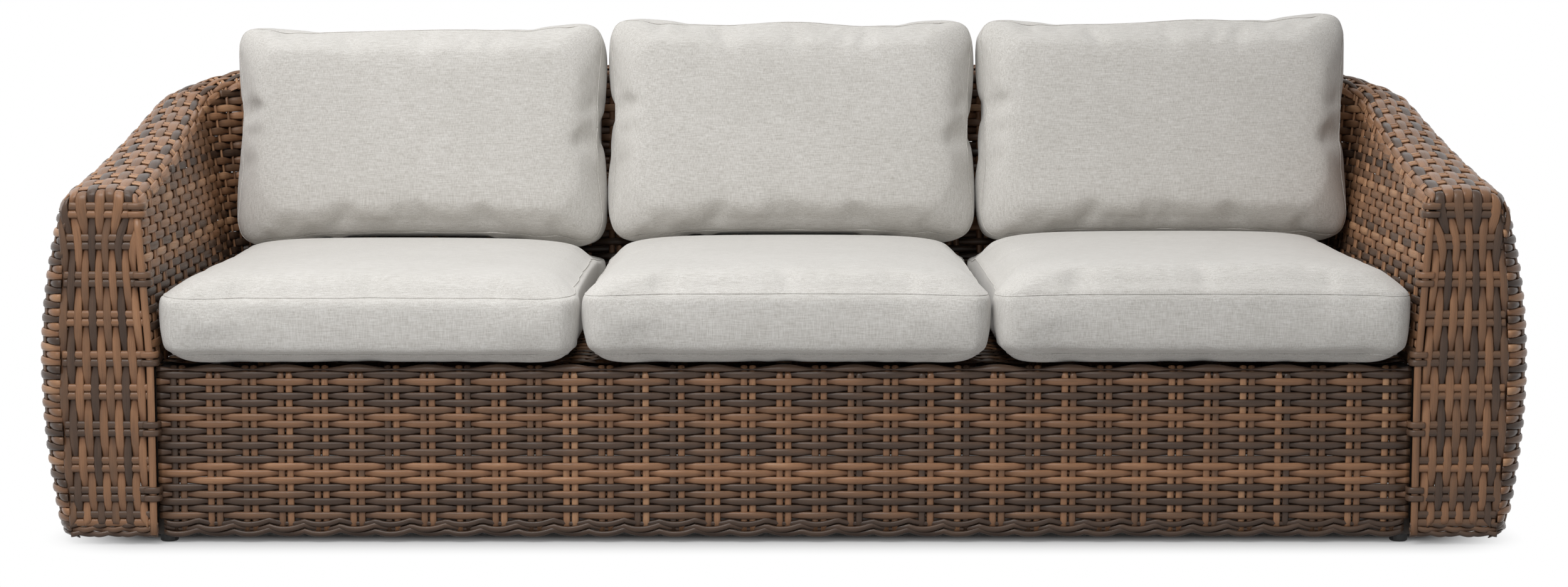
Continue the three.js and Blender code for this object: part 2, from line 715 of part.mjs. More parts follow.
function glideGeometry() {
  const plugRadius = SEAT_TUBE / 2 - WALL - GAP;
  const profile = [
    new THREE.Vector2(0, 0),
    new THREE.Vector2(GLIDE_RADIUS - GLIDE_EDGE, 0),
    new THREE.Vector2(GLIDE_RADIUS, GLIDE_EDGE),
    new THREE.Vector2(GLIDE_RADIUS, GROUND_GAP),
    new THREE.Vector2(plugRadius, GROUND_GAP),
    new THREE.Vector2(plugRadius, GROUND_GAP + GLIDE_PLUG),
    new THREE.Vector2(0, GROUND_GAP + GLIDE_PLUG),
  ];
  return new THREE.LatheGeometry(profile, GLIDE_SIDES).rotateX(Math.PI / 2);
}

function addLegsAndGlides() {
  const { legX, frontRailY, rearRailY, railZ } = seatFrame;
  const bottom = GROUND_GAP + GAP;
  const top = railZ - SEAT_TUBE / 2 - GAP;
  for (const [row, y] of [['front', frontRailY], ['rear', rearRailY]]) {
    for (const [side, sign] of [['left', -1], ['right', 1]]) {
      const x = sign * legX;
      const leg = straightTube(SEAT_TUBE, new THREE.Vector3(x, y, bottom), new THREE.Vector3(x, y, top));
      addMesh(`leg_${row}_${side}`, leg, frameMetal);
      addMesh(`glide_${row}_${side}`, glideGeometry(), glidePlastic).position.set(x, y, 0);
    }
  }
}

// Ties the two front legs behind the foot of the apron.
function addFrontBaseRail() {
  const end = seatFrame.legX - SEAT_TUBE / 2 - GAP;
  const y = seatFrame.front + HOOP_TUBE / 2;
  const z = GROUND_GAP + HOOP_DEPTH;
  const tube = straightTube(HOOP_TUBE, new THREE.Vector3(-end, y, z), new THREE.Vector3(end, y, z));
  addMesh('front_base_rail', tube, frameMetal);
}

// Boxed cushions, lying flat: width along X, depth along Y, thickness along Z from the resting face

const CORNER_STEPS = 3;
const SIDE_SHARES = [1 / 3, 2 / 3];
const UNDERSIDE_RING_SHARES = [0.9, 0.965];
const CROWN_RING_SHARES = [0.95, 0.82, 0.55];
const UNDERSIDE_RISE_SHARE = 0.22;
const CROWN_POWER = 6;
const CROWN_FALL_POWER = 0.8;

// A rectangle with round corners whose sides are drawn in between the corners.
function cushionOutline(width, depth, corner) {
  const outline = [];
  const centres = [[1, 1], [-1, 1], [-1, -1], [1, -1]].map(([signX, signY]) => (
    new THREE.Vector2(signX * (width / 2 - corner), signY * (depth / 2 - corner))
  ));
  centres.forEach((centre, index) => {
    for (let step = 0; step <= CORNER_STEPS; step += 1) {
      const angle = (index + step / CORNER_STEPS) * Math.PI / 2;
      outline.push(new THREE.Vector2(Math.cos(angle), Math.sin(angle)).multiplyScalar(corner).add(centre));
    }
    const facing = (index + 1) * Math.PI / 2;
    const outward = new THREE.Vector2(Math.cos(facing), Math.sin(facing));
    const from = centre.clone().addScaledVector(outward, corner - DRAW_IN);
    const to = centres[(index + 1) % centres.length].clone().addScaledVector(outward, corner - DRAW_IN);
    for (const share of SIDE_SHARES) {
      outline.push(from.clone().lerp(to, share));
    }
  });
  return outline;
}

const crownHeight = (share) => (1 - share ** CROWN_POWER) ** CROWN_FALL_POWER;

// The whole cushion, or its inside when an inset is given.
function cushionBody(cushion, insetBy) {
  const ring = (tuck, share, height) => {
    const edge = 2 * (insetBy + tuck);
    const corner = CUSHION_CORNER - insetBy - tuck;
    return cushionOutline(cushion.width - edge, cushion.depth - edge, corner)
      .map(({ x, y }) => new THREE.Vector3(x * share, y * share, height));
  };
  const lowerSeam = cushion.underside;
  const upperSeam = cushion.underside + cushion.box;
  const crownAt = (share) => Math.max(upperSeam, upperSeam + cushion.crown * crownHeight(share) - insetBy);
  const [flatShare, liftShare] = UNDERSIDE_RING_SHARES;
  const rings = [
    ring(BOX_BULGE, flatShare, insetBy),
    ring(BOX_BULGE, liftShare, insetBy + UNDERSIDE_RISE_SHARE * (lowerSeam - insetBy)),
    ring(BOX_BULGE, 1, lowerSeam),
    ring(0, 1, (lowerSeam + upperSeam) / 2),
    ring(BOX_BULGE, 1, upperSeam),
    ...CROWN_RING_SHARES.map((share) => ring(BOX_BULGE, share, crownAt(share))),
  ];
  return stackRings(rings, new THREE.Vector3(0, 0, insetBy), new THREE.Vector3(0, 0, crownAt(0)));
}

// A sewn cover: the cushion less its inside, open along a zip in the middle of one boxed side.
function coverGeometry(cushion, zipSide) {
  const slit = new THREE.BoxGeometry(cushion.width * ZIP_LENGTH_SHARE, cushion.depth / 2, ZIP_SLIT);
  slit.translate(0, zipSide * cushion.depth / 2, cushion.underside + cushion.box / 2);
  const outside = toSolid(cushionBody(cushion, 0));
  const inside = toSolid(cushionBody(cushion, COVER_CLOTH));
  return fromSolid(outside.subtract(inside.add(toSolid(slit))));
}

const pitch = 2 * INNER_X / CUSHION_COUNT;
const seatCushion = {
  width: pitch - 2 * GAP,
  depth: INNER_BACK - 2 * SKIN_GAP - ARM_FRONT + CUSHION_OVERHANG,
  underside: SEAT_UNDERSIDE,
  box: SEAT_BOX,
  crown: SEAT_CROWN,
};
const backCushion = {
  width: pitch - 2 * GAP,
  depth: BACK_CUSHION_HEIGHT,
  underside: BACK_UNDERSIDE,
  box: BACK_BOX,
  crown: BACK_CROWN,
};

const seatPlace = new THREE.Matrix4().makeTranslation(
  0, ARM_FRONT - CUSHION_OVERHANG + seatCushion.depth / 2, SEAT_HEIGHT + GAP,
);

// A back cushion leans against the inner back. Its depth runs up the slope, and it is let down until it
// lies on the seat cushion under it. Both are taken as convex hulls, which bridge the drawn-in sides.
const SETTLE_ROUNDS = 40;
const SETTLE_REACH = 300;
const SETTLE_GAP = 1;

function backPlaceAt(lift) {
  const up = new THREE.Vector3(0, Math.sin(BACK_LEAN), Math.cos(BACK_LEAN));
  const forward = new THREE.Vector3(0, -Math.cos(BACK_LEAN), Math.sin(BACK_LEAN));
  const along = (lift - SEAT_HEIGHT) / Math.cos(BACK_LEAN) + backCushion.depth / 2;
  const foot = new THREE.Vector3(0, INNER_BACK, SEAT_HEIGHT).addScaledVector(up, along);
  const place = foot.addScaledVector(forward, SKIN_GAP);
  return new THREE.Matrix4().makeBasis(new THREE.Vector3(1, 0, 0), up, forward).setPosition(place);
}

function settledLift() {
  const seat = toSolid(cushionBody(seatCushion, 0).applyMatrix4(seatPlace)).hull();
  let lift = SEAT_HEIGHT + SEAT_UNDERSIDE + SEAT_BOX + SEAT_CROWN;
  for (let round = 0; round < SETTLE_ROUNDS; round += 1) {
    const back = toSolid(cushionBody(backCushion, 0).applyMatrix4(backPlaceAt(lift))).hull();
    lift -= back.minGap(seat, SETTLE_REACH) - SETTLE_GAP;
  }
  return lift;
}

const backPlace = backPlaceAt(settledLift());

function addCushion(name, cushion, zipSide, place) {
  const group = new THREE.Group();
  group.applyMatrix4(place);
  addMesh(`${name}_cover`, coverGeometry(cushion, zipSide), cushionCloth, group);
  addMesh(`${name}_foam`, cushionBody(cushion, COVER_CLOTH + FOAM_GAP), foam, group);
  sofa.add(group);
  return group;
}

function addCushions() {
  ['left', 'middle', 'right'].forEach((side, index) => {
    const x = (index - (CUSHION_COUNT - 1) / 2) * pitch;
    const seat = addCushion(`seat_cushion_${side}`, seatCushion, 1, seatPlace);
    const back = addCushion(`back_cushion_${side}`, backCushion, -1, backPlace);
    seat.position.x = x;
    back.position.x = x;
  });
}

addApron();
addArmFronts();
addSkins();
addDeck();
addHoops();
addTyingRails();
addSeatRails();
addBearers();
addLegsAndGlides();
addFrontBaseRail();
addCushions();

export default sofa;
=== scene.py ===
import bpy, bmesh, math, random
from functools import partial
import numpy as np
from mathutils import Matrix, Vector
from mathutils.bvhtree import BVHTree


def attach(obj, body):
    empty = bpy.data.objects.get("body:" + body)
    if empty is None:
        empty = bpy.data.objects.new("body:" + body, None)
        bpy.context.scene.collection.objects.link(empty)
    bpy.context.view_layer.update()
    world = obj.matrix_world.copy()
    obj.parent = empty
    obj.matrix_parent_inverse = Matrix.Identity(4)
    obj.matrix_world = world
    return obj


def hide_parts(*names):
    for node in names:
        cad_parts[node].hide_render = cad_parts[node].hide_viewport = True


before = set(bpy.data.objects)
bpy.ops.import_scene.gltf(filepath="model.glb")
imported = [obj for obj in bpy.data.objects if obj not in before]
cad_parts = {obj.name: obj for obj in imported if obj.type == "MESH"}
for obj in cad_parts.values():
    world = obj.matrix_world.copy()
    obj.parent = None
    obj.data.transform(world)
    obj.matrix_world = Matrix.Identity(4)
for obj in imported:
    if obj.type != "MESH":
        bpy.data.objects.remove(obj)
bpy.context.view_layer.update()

# Shell of the sofa, in millimetres. A point of it is given by how far it lies along the plan line,
# walked from the front of the left arm round the back, and by how far up the section it lies.
ARM_HEIGHT, BACK_HEIGHT, SEAT_HEIGHT, GROUND_GAP = 547, 712, 278, 12
BULGE, BULGE_HEIGHT, BASE_TUCK, CORNER = 48, 262, 30, 175
ARM_FRONT, PLAN_X, PLAN_BACK = -458, 1102, 422
ARM_RUN = PLAN_BACK - CORNER - ARM_FRONT
ARC_RUN = CORNER * math.pi / 2
PLAN_LENGTH = 2 * (ARM_RUN + ARC_RUN + PLAN_X - CORNER)
CLIMB_RUN = ARM_RUN + ARC_RUN - 45
FRONT_ROUND, FRONT_TUCK, FRONT_BULGE = 90, 18, 0.4
SEAT_INSET, OUTER_ROUND, INNER_ROUND, CROWN = 145, 34, 26, 3
ARM_LEAN, BACK_LEAN = math.radians(3.8), math.radians(9)
BASE_ROUND = 12
APRON_FRONT = -438

# The weave, in millimetres: how far apart rows, pairs of stakes and the two stakes of a pair are, how
# far a strand dips where it goes over and under, and the strands' sizes
PITCH, INNER_PITCH, APRON_PITCH = 11, 13.1, 10.93
PAIR_PITCH = 54.7
STAKE_APART = 13
STAKE_OFFSETS = (-STAKE_APART / 2, STAKE_APART / 2)
FRONT_OFFSETS = (-6.2, 6.2)
DIP = 3.3
STRAND_WIDTH, STRAND_THICK = 12.6, 5
STAKE_WIDTH, STAKE_THICK = 10.8, 4.4
SIDES = 8

# Strands over an arm's top, and how tightly they bend over its front edge
TOP_STRANDS = 11
EDGE_BEND = 16

# Least height at which the arm's front follows the bulging outer side
FRONT_FOOT = 24


def front_ease(run, length):
    """Rises from nought to one over the first length of a run, as a quarter of a circle."""
    return np.sqrt(1 - np.clip(1 - run / length, 0, 1) ** 2)


def run_of(walked):
    """How far a place on the plan line is from the nearer arm's front."""
    return np.minimum(walked, PLAN_LENGTH - walked)


def shell_top(run):
    """Height of the rounded top: it climbs from the arm's front to the back and eases into its height."""
    climb = ARM_HEIGHT + (BACK_HEIGHT - ARM_HEIGHT) * (np.maximum(run, 0) / CLIMB_RUN) ** 1.32
    edge = (climb + BACK_HEIGHT - np.hypot(climb - BACK_HEIGHT, 14)) / 2
    return edge - 3 * (1 - front_ease(run, 20))


def outer_reach(run, height):
    """How far the outer wall stands out from the plan line."""
    below = (BULGE_HEIGHT - height) / (BULGE_HEIGHT - GROUND_GAP)
    above = (height - BULGE_HEIGHT) / (shell_top(run) - BULGE_HEIGHT)
    swell = np.where(height < BULGE_HEIGHT, BULGE - BASE_TUCK * below ** 2, BULGE * (1 - above ** 2))
    ease = front_ease(run, FRONT_ROUND)
    return swell * (FRONT_BULGE + (1 - FRONT_BULGE) * ease) - FRONT_TUCK * (1 - ease)


def inner_reach(run, height):
    """How far the inner wall stands out from the plan line, which is inward and so below nought."""
    lean = ARM_LEAN + (BACK_LEAN - ARM_LEAN) * np.clip(run / ARM_RUN, 0, 1)
    return np.maximum(0, height - SEAT_HEIGHT) * np.tan(lean) - SEAT_INSET + 3 * (1 - front_ease(run, 20))


def on_plan(walked, reach, height):
    """The point of the shell at a place along the plan line, a reach out from it and a height."""
    run = run_of(walked)
    side = np.where(walked > PLAN_LENGTH / 2, -1.0, 1.0)
    turned = np.clip((run - ARM_RUN) / CORNER, 0, math.pi / 2)
    out_x, out_y = -np.cos(turned), np.sin(turned)
    x = CORNER - PLAN_X - CORNER * np.cos(turned) + np.maximum(0, run - ARM_RUN - ARC_RUN)
    y = ARM_FRONT + np.minimum(run, ARM_RUN) + CORNER * np.sin(turned)
    return np.stack([side * (x + out_x * reach), y + out_y * reach, height + 0 * x], axis=-1)


# The outer wall is walked along its own length, because it rounds over steeply at the arm's front.
def outer_lengths():
    rounding = FRONT_ROUND * (1 - np.cos(np.linspace(0, math.pi / 2, 60)))
    first = np.concatenate([rounding, np.linspace(FRONT_ROUND, PLAN_LENGTH / 2, 900)[1:]])
    walked = np.concatenate([first, (PLAN_LENGTH - first)[::-1][1:]])
    points = on_plan(walked, outer_reach(run_of(walked), BULGE_HEIGHT + 0 * walked), 0)
    steps = np.linalg.norm(np.diff(points, axis=0), axis=1)
    return np.concatenate([[0], np.cumsum(steps)]), walked


OUTER_LENGTH, OUTER_WALKED = outer_lengths()


def outer_wall(length, height):
    walked = np.interp(length, OUTER_LENGTH, OUTER_WALKED)
    fall = np.clip((GROUND_GAP + BASE_ROUND - height) / BASE_ROUND, 0, 1)
    reach = outer_reach(run_of(walked), np.maximum(height, GROUND_GAP + BASE_ROUND))
    return on_plan(walked, reach - BASE_ROUND * (1 - np.sqrt(1 - fall ** 2)), height)


# Length of a rounding between two equal legs, as a share of one leg
ROUND_LENGTH = 0.81 * 2


def bezier(start, corner, end, share):
    return (1 - share) ** 2 * start + 2 * share * (1 - share) * corner + share ** 2 * end


def top_section(run, share):
    """Reach and height over the rounded top, from the foot of the outer rounding to the inner one's."""
    top = shell_top(run)
    outer, inner = outer_reach(run, top), inner_reach(run, top)
    outer_foot = outer_reach(run, top - OUTER_ROUND)
    inner_foot = inner_reach(run, top - INNER_ROUND)
    flat = outer - inner - OUTER_ROUND - INNER_ROUND
    first, last = ROUND_LENGTH * OUTER_ROUND, ROUND_LENGTH * INNER_ROUND
    along = share * (first + flat + last)
    a = np.clip(along / first, 0, 1)
    b = np.clip((along - first) / flat, 0, 1)
    c = np.clip((along - first - flat) / last, 0, 1)
    starting, ending = along < first, along > first + flat
    reach = np.where(starting, bezier(outer_foot, outer, outer - OUTER_ROUND, a),
                     outer - OUTER_ROUND - b * flat)
    height = np.where(starting, bezier(top - OUTER_ROUND, top, top, a), top + CROWN * 4 * b * (1 - b))
    reach = np.where(ending, bezier(inner + INNER_ROUND, inner, inner_foot, c), reach)
    height = np.where(ending, bezier(top, top, top - INNER_ROUND, c), height)
    return reach, height


# Strands of the top run on over the arm's front edge and down its face. Before the bend's end they
# are walked down the face, so their length runs below the bend.
BEND_LENGTH = EDGE_BEND * math.pi / 2


def top_and_front(walked, strand):
    run = run_of(walked)
    mirrored = walked > PLAN_LENGTH / 2
    share = strand / TOP_STRANDS
    reach, height = top_section(np.maximum(run, EDGE_BEND), share)
    before = np.maximum(0, EDGE_BEND - run)
    angle = np.minimum(before / EDGE_BEND, math.pi / 2)
    extra = np.maximum(0, before - BEND_LENGTH)
    depth = np.where(run < EDGE_BEND, EDGE_BEND * (1 - np.sin(angle)), 0)
    height = height - EDGE_BEND * (1 - np.cos(angle)) - extra
    spread = np.clip(extra / 80, 0, 1)
    spread = spread * spread * (3 - 2 * spread)
    outer = outer_reach(0 * run, np.maximum(height, FRONT_FOOT)) + 1.5
    even = outer + (inner_reach(0 * run, height) + 15 - outer) * share
    reach = reach + (even - reach) * spread
    placed = on_plan(np.where(mirrored, PLAN_LENGTH - EDGE_BEND, EDGE_BEND) + 0 * reach, reach, height)
    placed[..., 1] = ARM_FRONT + depth
    return np.where((run < EDGE_BEND)[..., None], placed, on_plan(walked, reach, height))


def inner_wall(walked, height):
    return on_plan(walked, inner_reach(run_of(walked), height), height)


def front_face(side):
    """An arm's front: a share of the way from its outer edge to its inner one, and a height."""
    def place(share, height):
        outer = outer_reach(0 * height, np.maximum(height, FRONT_FOOT))
        reach = outer + (inner_reach(0 * height, height) - outer) * share
        return np.stack([side * (PLAN_X + reach), ARM_FRONT + 0 * reach, height + 0 * reach], axis=-1)
    return place


def inner_corner(side):
    """Round the arm's inner front edge: before nought on the face, after it along the inner wall."""
    bend, half = 8, 6.3

    def place(length, height):
        turn = np.clip(length / bend + 0.785, 0, math.pi / 2)
        inner = PLAN_X + inner_reach(bend + 0 * height, height)
        x = inner + bend - bend * np.sin(turn) + np.maximum(0, -length - half)
        y = ARM_FRONT + bend - bend * np.cos(turn) + np.maximum(0, length - half)
        return np.stack([side * x, y, height + 0 * x], axis=-1)
    return place


def apron_face(across, height):
    """The apron's front, which rounds over at its top."""
    rounding = 14
    over = np.clip((height - (SEAT_HEIGHT - rounding)) / rounding, 0, 1)
    y = APRON_FRONT + rounding * (1 - np.sqrt(1 - over ** 2))
    return np.stack([across, y + 0 * across, height + 0 * across], axis=-1)


def deck_top(across, depth):
    return np.stack([across, depth, SEAT_HEIGHT + 0 * across], axis=-1)


# Strands. A strand is swept as a tube of unit width along X, one step to a ring, and then laid on its
# wall: along it, across it and out of it.

def swept_tubes(counts):
    """Tubes of unit radius end to end along X, one step to a ring, each closed at both ends."""
    rings = sum(count + 1 for count in counts)
    last_rings = set(np.cumsum([count + 1 for count in counts]) - 1)
    bm = bmesh.new()
    spread = Matrix.Diagonal(((rings - 1) / 2, SIDES / 2, 1, 1))
    place = Matrix.Translation(((rings - 1) / 2, SIDES / 2, 0)) @ spread
    bmesh.ops.create_grid(bm, x_segments=rings - 1, y_segments=SIDES, size=1, matrix=place)
    between = [face for face in bm.faces if round(min(vert.co.x for vert in face.verts)) in last_rings]
    bmesh.ops.delete(bm, geom=between, context="FACES")
    for vert in bm.verts:
        angle = vert.co.y * 2 * math.pi / SIDES
        vert.co = (round(vert.co.x), math.cos(angle), math.sin(angle))
    bmesh.ops.remove_doubles(bm, verts=bm.verts, dist=0.001)
    bmesh.ops.holes_fill(bm, edges=bm.edges, sides=SIDES)
    bmesh.ops.recalc_face_normals(bm, faces=bm.faces)
    mesh = bpy.data.meshes.new("strands")
    bm.to_mesh(mesh)
    bm.free()
    return mesh


def column(strands, key):
    return np.array([strand[key] for strand in strands], float)


def lay(name, strands, place, outward, along="u", step=7, depth=0):
    """strands: start, end, across, tone, and how lift, width, thick and drift change along."""
    counts = [max(2, int(round(abs(strand["end"] - strand["start"]) / step))) for strand in strands]
    mesh = swept_tubes(counts)
    flat = np.empty(len(mesh.vertices) * 3)
    mesh.vertices.foreach_get("co", flat)
    flat = flat.reshape(-1, 3)
    firsts = np.concatenate([[0], np.cumsum(np.array(counts) + 1)])
    index = np.searchsorted(firsts, np.round(flat[:, 0]), side="right") - 1
    cos, sin = flat[:, 1], flat[:, 2]
    count = np.array(counts, float)[index]
    start, end = column(strands, "start")[index], column(strands, "end")[index]
    run = start + (end - start) * (flat[:, 0] - firsts[index]) / count
    centre = column(strands, "across")[index]
    lift, width, thick, drift = (np.zeros(len(run)) for _ in range(4))
    for number, strand in enumerate(strands):
        chosen = index == number
        shape = strand["shape"](run[chosen])
        lift[chosen], width[chosen], thick[chosen], drift[chosen] = shape
    across = centre + drift + cos * width / 2

    def at(a, b):
        return place(a, b) if along == "u" else place(b, a)

    here = at(run, across)
    tangent = at(run + 0.5, across) - at(run - 0.5, across)
    over = at(run, across + 0.02) - at(run, across - 0.02)
    normal = np.cross(tangent, over)
    normal /= np.linalg.norm(normal, axis=1)[:, None] + 1e-9
    handed = np.sign(outward)
    points = here + normal * (handed * (lift + depth + sin * thick / 2))[:, None]
    mesh.vertices.foreach_set("co", (points * 0.001).ravel())
    if handed < 0:
        mesh.flip_normals()
    add_grain(mesh, run, cos * thick, column(strands, "tone")[index], lift, index)
    mesh.polygons.foreach_set("use_smooth", np.ones(len(mesh.polygons), bool))
    mesh.update()
    piece = bpy.data.objects.new(name, mesh)
    bpy.context.scene.collection.objects.link(piece)
    return piece


def add_grain(mesh, run, offset, tone, lift, index):
    """Gives each point its strand's tone, how deep it is tucked under, which the rattan's colour darkens
    with as painted shade, and a place along the grain.
    """
    shift = np.random.default_rng(7).random(index.max() + 1) * 40
    loops = np.empty(len(mesh.loops), int)
    mesh.loops.foreach_get("vertex_index", loops)
    uv = np.stack([run * 0.001 + shift[index], offset * 0.001], axis=-1)[loops]
    layer = mesh.uv_layers.new(name="strand")
    layer.data.foreach_set("uv", uv.ravel())
    # How deep a point dips under the crossing strands; the material darkens the colour with it, as painted
    # shade in the weave's hollows.
    for label, values in (("tone", tone), ("tuck_shade", np.clip(-lift / DIP, 0, 1))):
        attribute = mesh.attributes.new(label, "FLOAT", "POINT")
        attribute.data.foreach_set("value", values)


def woven(phase, width=STRAND_WIDTH, thick=STRAND_THICK, dip=DIP, parity=0):
    """A strand that goes over one pair of stakes and under the next; phase counts the pairs."""
    def shape(run):
        wave = np.cos(math.pi * (phase(run) + parity))
        narrow = 0.66 + 0.34 * np.clip((1 + wave) / 2, 0, 1) ** 0.35
        return dip * wave, width * narrow, thick + 0 * run, 0 * run
    return shape


def straight(width, thick, lift=0):
    """A strand that neither dips nor narrows."""
    return lambda run: (lift + 0 * run, width + 0 * run, thick + 0 * run, 0 * run)


def twined(phase, width, thick, dip, sway, droop, parity):
    """A border strand: it hangs in a bow under each pair and crosses its neighbour between them."""
    def shape(run):
        turned = math.pi * (phase(run) + parity)
        aside = 2 * np.abs(phase(run) - np.round(phase(run)))
        sag = -droop * (1 - aside ** 2)
        return dip * np.cos(turned), width + 0 * run, thick + 0 * run, sway * np.sin(turned) + sag
    return shape


dice = random.Random(11)


def pick_tone(dark):
    """Nought is the darkest strand and one the lightest. dark is the share of dark strands."""
    roll = dice.random()
    if roll < dark:
        return dice.uniform(0.02, 0.3)
    return dice.uniform(0.42, 0.7) if roll < dark + (1 - dark) * 0.55 else dice.uniform(0.7, 1.0)


def pair_walks():
    """Pairs of stakes, as places along the plan line, the same for the outer wall, top and inner wall."""
    arm = 36 + np.arange(13) * 53.6
    corner = ARM_RUN + (np.arange(5) + 0.55) * ARC_RUN / 5
    back_start = ARM_RUN + ARC_RUN + 26
    half = np.arange(back_start, PLAN_LENGTH / 2, PAIR_PITCH)
    first = np.concatenate([arm, corner, half])
    mirrored = (PLAN_LENGTH - first)[::-1]
    middle = (mirrored[0] - first[-1]) < PAIR_PITCH * 0.6
    return np.concatenate([first[:-1] if middle else first, mirrored])


PAIRS = pair_walks()
PAIR_COUNT = np.arange(len(PAIRS), dtype=float)


def extended(values, places, counts):
    """Counts pairs along a line, and goes on counting at the same pitch past its ends."""
    low = counts[0] + (values - places[0]) / (places[1] - places[0])
    high = counts[-1] + (values - places[-1]) / (places[-1] - places[-2])
    inside = np.interp(values, places, counts)
    return np.where(values < places[0], low, np.where(values > places[-1], high, inside))


def phase_walked(walked):
    return extended(walked, PAIRS, PAIR_COUNT)


def phase_outer(length):
    return phase_walked(np.interp(length, OUTER_LENGTH, OUTER_WALKED))


# Heights of the crosswise pairs on an arm's front, from the top down
FRONT_PAIRS = np.array([515, 467, 410, 350, 288, 237, 180, 125, 79, 41], float)
FRONT_COUNT = np.arange(len(FRONT_PAIRS), dtype=float)


def phase_top(strand):
    """Counts the pairs along a strand of the top, on past the bend and down the arm's front."""
    height = top_section(np.array([float(EDGE_BEND)]), np.array([strand / TOP_STRANDS]))[1]
    top = height[0] - EDGE_BEND

    def phase(walked):
        run = run_of(walked)
        face = top - np.maximum(0, EDGE_BEND - run - BEND_LENGTH)
        on_face = -1 - extended(-face, -FRONT_PAIRS, FRONT_COUNT)
        at_bend = float(extended(np.array([float(EDGE_BEND)]), PAIRS, PAIR_COUNT)[0])
        bend = np.clip((EDGE_BEND - run) / BEND_LENGTH, 0, 1)
        start = -1 - extended(np.array([-top]), -FRONT_PAIRS, FRONT_COUNT)[0]
        near = np.where(bend < 1, at_bend + (start - at_bend) * bend, on_face)
        last = PAIR_COUNT[-1]
        mirrored = walked > PLAN_LENGTH / 2
        return np.where(run >= EDGE_BEND, phase_walked(walked), np.where(mirrored, last - near, near))
    return phase, top


MATERIALS = {}


def node(tree, kind, **inputs):
    made = tree.nodes.new(kind)
    for key, value in inputs.items():
        made.inputs[key].default_value = value
    return made


def new_material(name):
    material = bpy.data.materials.new(name)
    material.use_nodes = True
    tree = material.node_tree
    shader = tree.nodes["Principled BSDF"]
    MATERIALS[name] = material
    return material, tree, shader


def ramp(tree, source, stops):
    made = tree.nodes.new("ShaderNodeValToRGB")
    elements = made.color_ramp.elements
    while len(elements) < len(stops):
        elements.new(0.5)
    for element, (place, colour) in zip(elements, stops):
        element.position = place
        element.color = (*colour, 1)
    tree.links.new(source, made.inputs[0])
    return made.outputs[0]


def srgb(*values):
    """A colour as a screen shows it, turned into the amounts of light that Blender works with."""
    return tuple((value / 255 / 12.92) if value / 255 <= 0.04045 else ((value / 255 + 0.055) / 1.055) ** 2.4
                 for value in values)


def math_node(tree, operation, first, second):
    made = tree.nodes.new("ShaderNodeMath")
    made.operation = operation
    for socket, value in zip(made.inputs, (first, second)):
        if isinstance(value, (int, float)):
            socket.default_value = value
        else:
            tree.links.new(value, socket)
    return made.outputs[0]


def mix_colour(tree, mode, factor, first, second):
    made = tree.nodes.new("ShaderNodeMix")
    made.data_type = "RGBA"
    made.blend_type = mode
    for socket, value in ((made.inputs[0], factor), (made.inputs[6], first), (made.inputs[7], second)):
        if isinstance(value, (int, float)):
            socket.default_value = value
        elif isinstance(value, tuple):
            socket.default_value = (*value, 1)
        else:
            tree.links.new(value, socket)
    return made.outputs[2]


def noise_on(tree, vector, scale, size, detail=3, rough=0.55):
    mapping = node(tree, "ShaderNodeMapping", Scale=scale)
    tree.links.new(vector, mapping.inputs["Vector"])
    noise = node(tree, "ShaderNodeTexNoise", Scale=size, Detail=detail, Roughness=rough)
    tree.links.new(mapping.outputs[0], noise.inputs["Vector"])
    return noise.outputs["Fac"]


def rattan_material():
    material, tree, shader = new_material("rattan_strand")
    uv = tree.nodes.new("ShaderNodeUVMap")
    uv.uv_map = "strand"
    tone, tuck_shade = tree.nodes.new("ShaderNodeAttribute"), tree.nodes.new("ShaderNodeAttribute")
    tone.attribute_name, tuck_shade.attribute_name = "tone", "tuck_shade"
    patches = noise_on(tree, uv.outputs[0], (9, 60, 1), 1, 3, 0.6)
    streaks = noise_on(tree, uv.outputs[0], (22, 1500, 1), 1, 4, 0.65)
    shifted = math_node(tree, "ADD", tone.outputs["Fac"],
                        math_node(tree, "MULTIPLY", math_node(tree, "SUBTRACT", patches, 0.5), 0.75))
    colour = ramp(tree, shifted, [
        (0.0, srgb(68, 53, 43)), (0.22, srgb(86, 67, 54)), (0.42, srgb(108, 82, 63)),
        (0.64, srgb(133, 98, 72)), (0.85, srgb(154, 114, 84)), (1.0, srgb(176, 136, 103)),
    ])
    streaked = ramp(tree, streaks, [
        (0.25, (0.62, 0.6, 0.6)), (0.5, (0.95, 0.94, 0.94)), (0.75, (1.22, 1.2, 1.18)),
    ])
    colour = mix_colour(tree, "MULTIPLY", 0.75, colour, streaked)
    # Painted shade: the colour darkens where a strand dips under its crossing strands, by how deep it is
    # tucked under.
    shade = ramp(tree, tuck_shade.outputs["Fac"], [
        (0.0, (1, 1, 1)), (0.6, (0.66, 0.6, 0.56)), (1.0, (0.42, 0.35, 0.3)),
    ])
    colour = mix_colour(tree, "MULTIPLY", 1.0, colour, shade)
    tree.links.new(colour, shader.inputs["Base Color"])
    gloss = ramp(tree, streaks, [(0.3, (0.24,) * 3), (0.7, (0.4,) * 3)])
    tree.links.new(gloss, shader.inputs["Roughness"])
    shader.inputs["Specular IOR Level"].default_value = 0.3
    bump = node(tree, "ShaderNodeBump", Strength=0.35, Distance=0.0005)
    tree.links.new(streaks, bump.inputs["Height"])
    tree.links.new(bump.outputs[0], shader.inputs["Normal"])
    return material


def tube_material():
    material, tree, shader = new_material("coated_tube")
    place = tree.nodes.new("ShaderNodeTexCoord").outputs["Object"]
    grain = noise_on(tree, place, (1, 1, 1), 900, 2, 0.5)
    colour = ramp(tree, grain, [(0.3, srgb(44, 38, 34)), (0.7, srgb(58, 50, 44))])
    tree.links.new(colour, shader.inputs["Base Color"])
    shader.inputs["Metallic"].default_value = 0.35
    shader.inputs["Roughness"].default_value = 0.42
    bump = node(tree, "ShaderNodeBump", Strength=0.3, Distance=0.0003)
    tree.links.new(grain, bump.inputs["Height"])
    tree.links.new(bump.outputs[0], shader.inputs["Normal"])
    return material


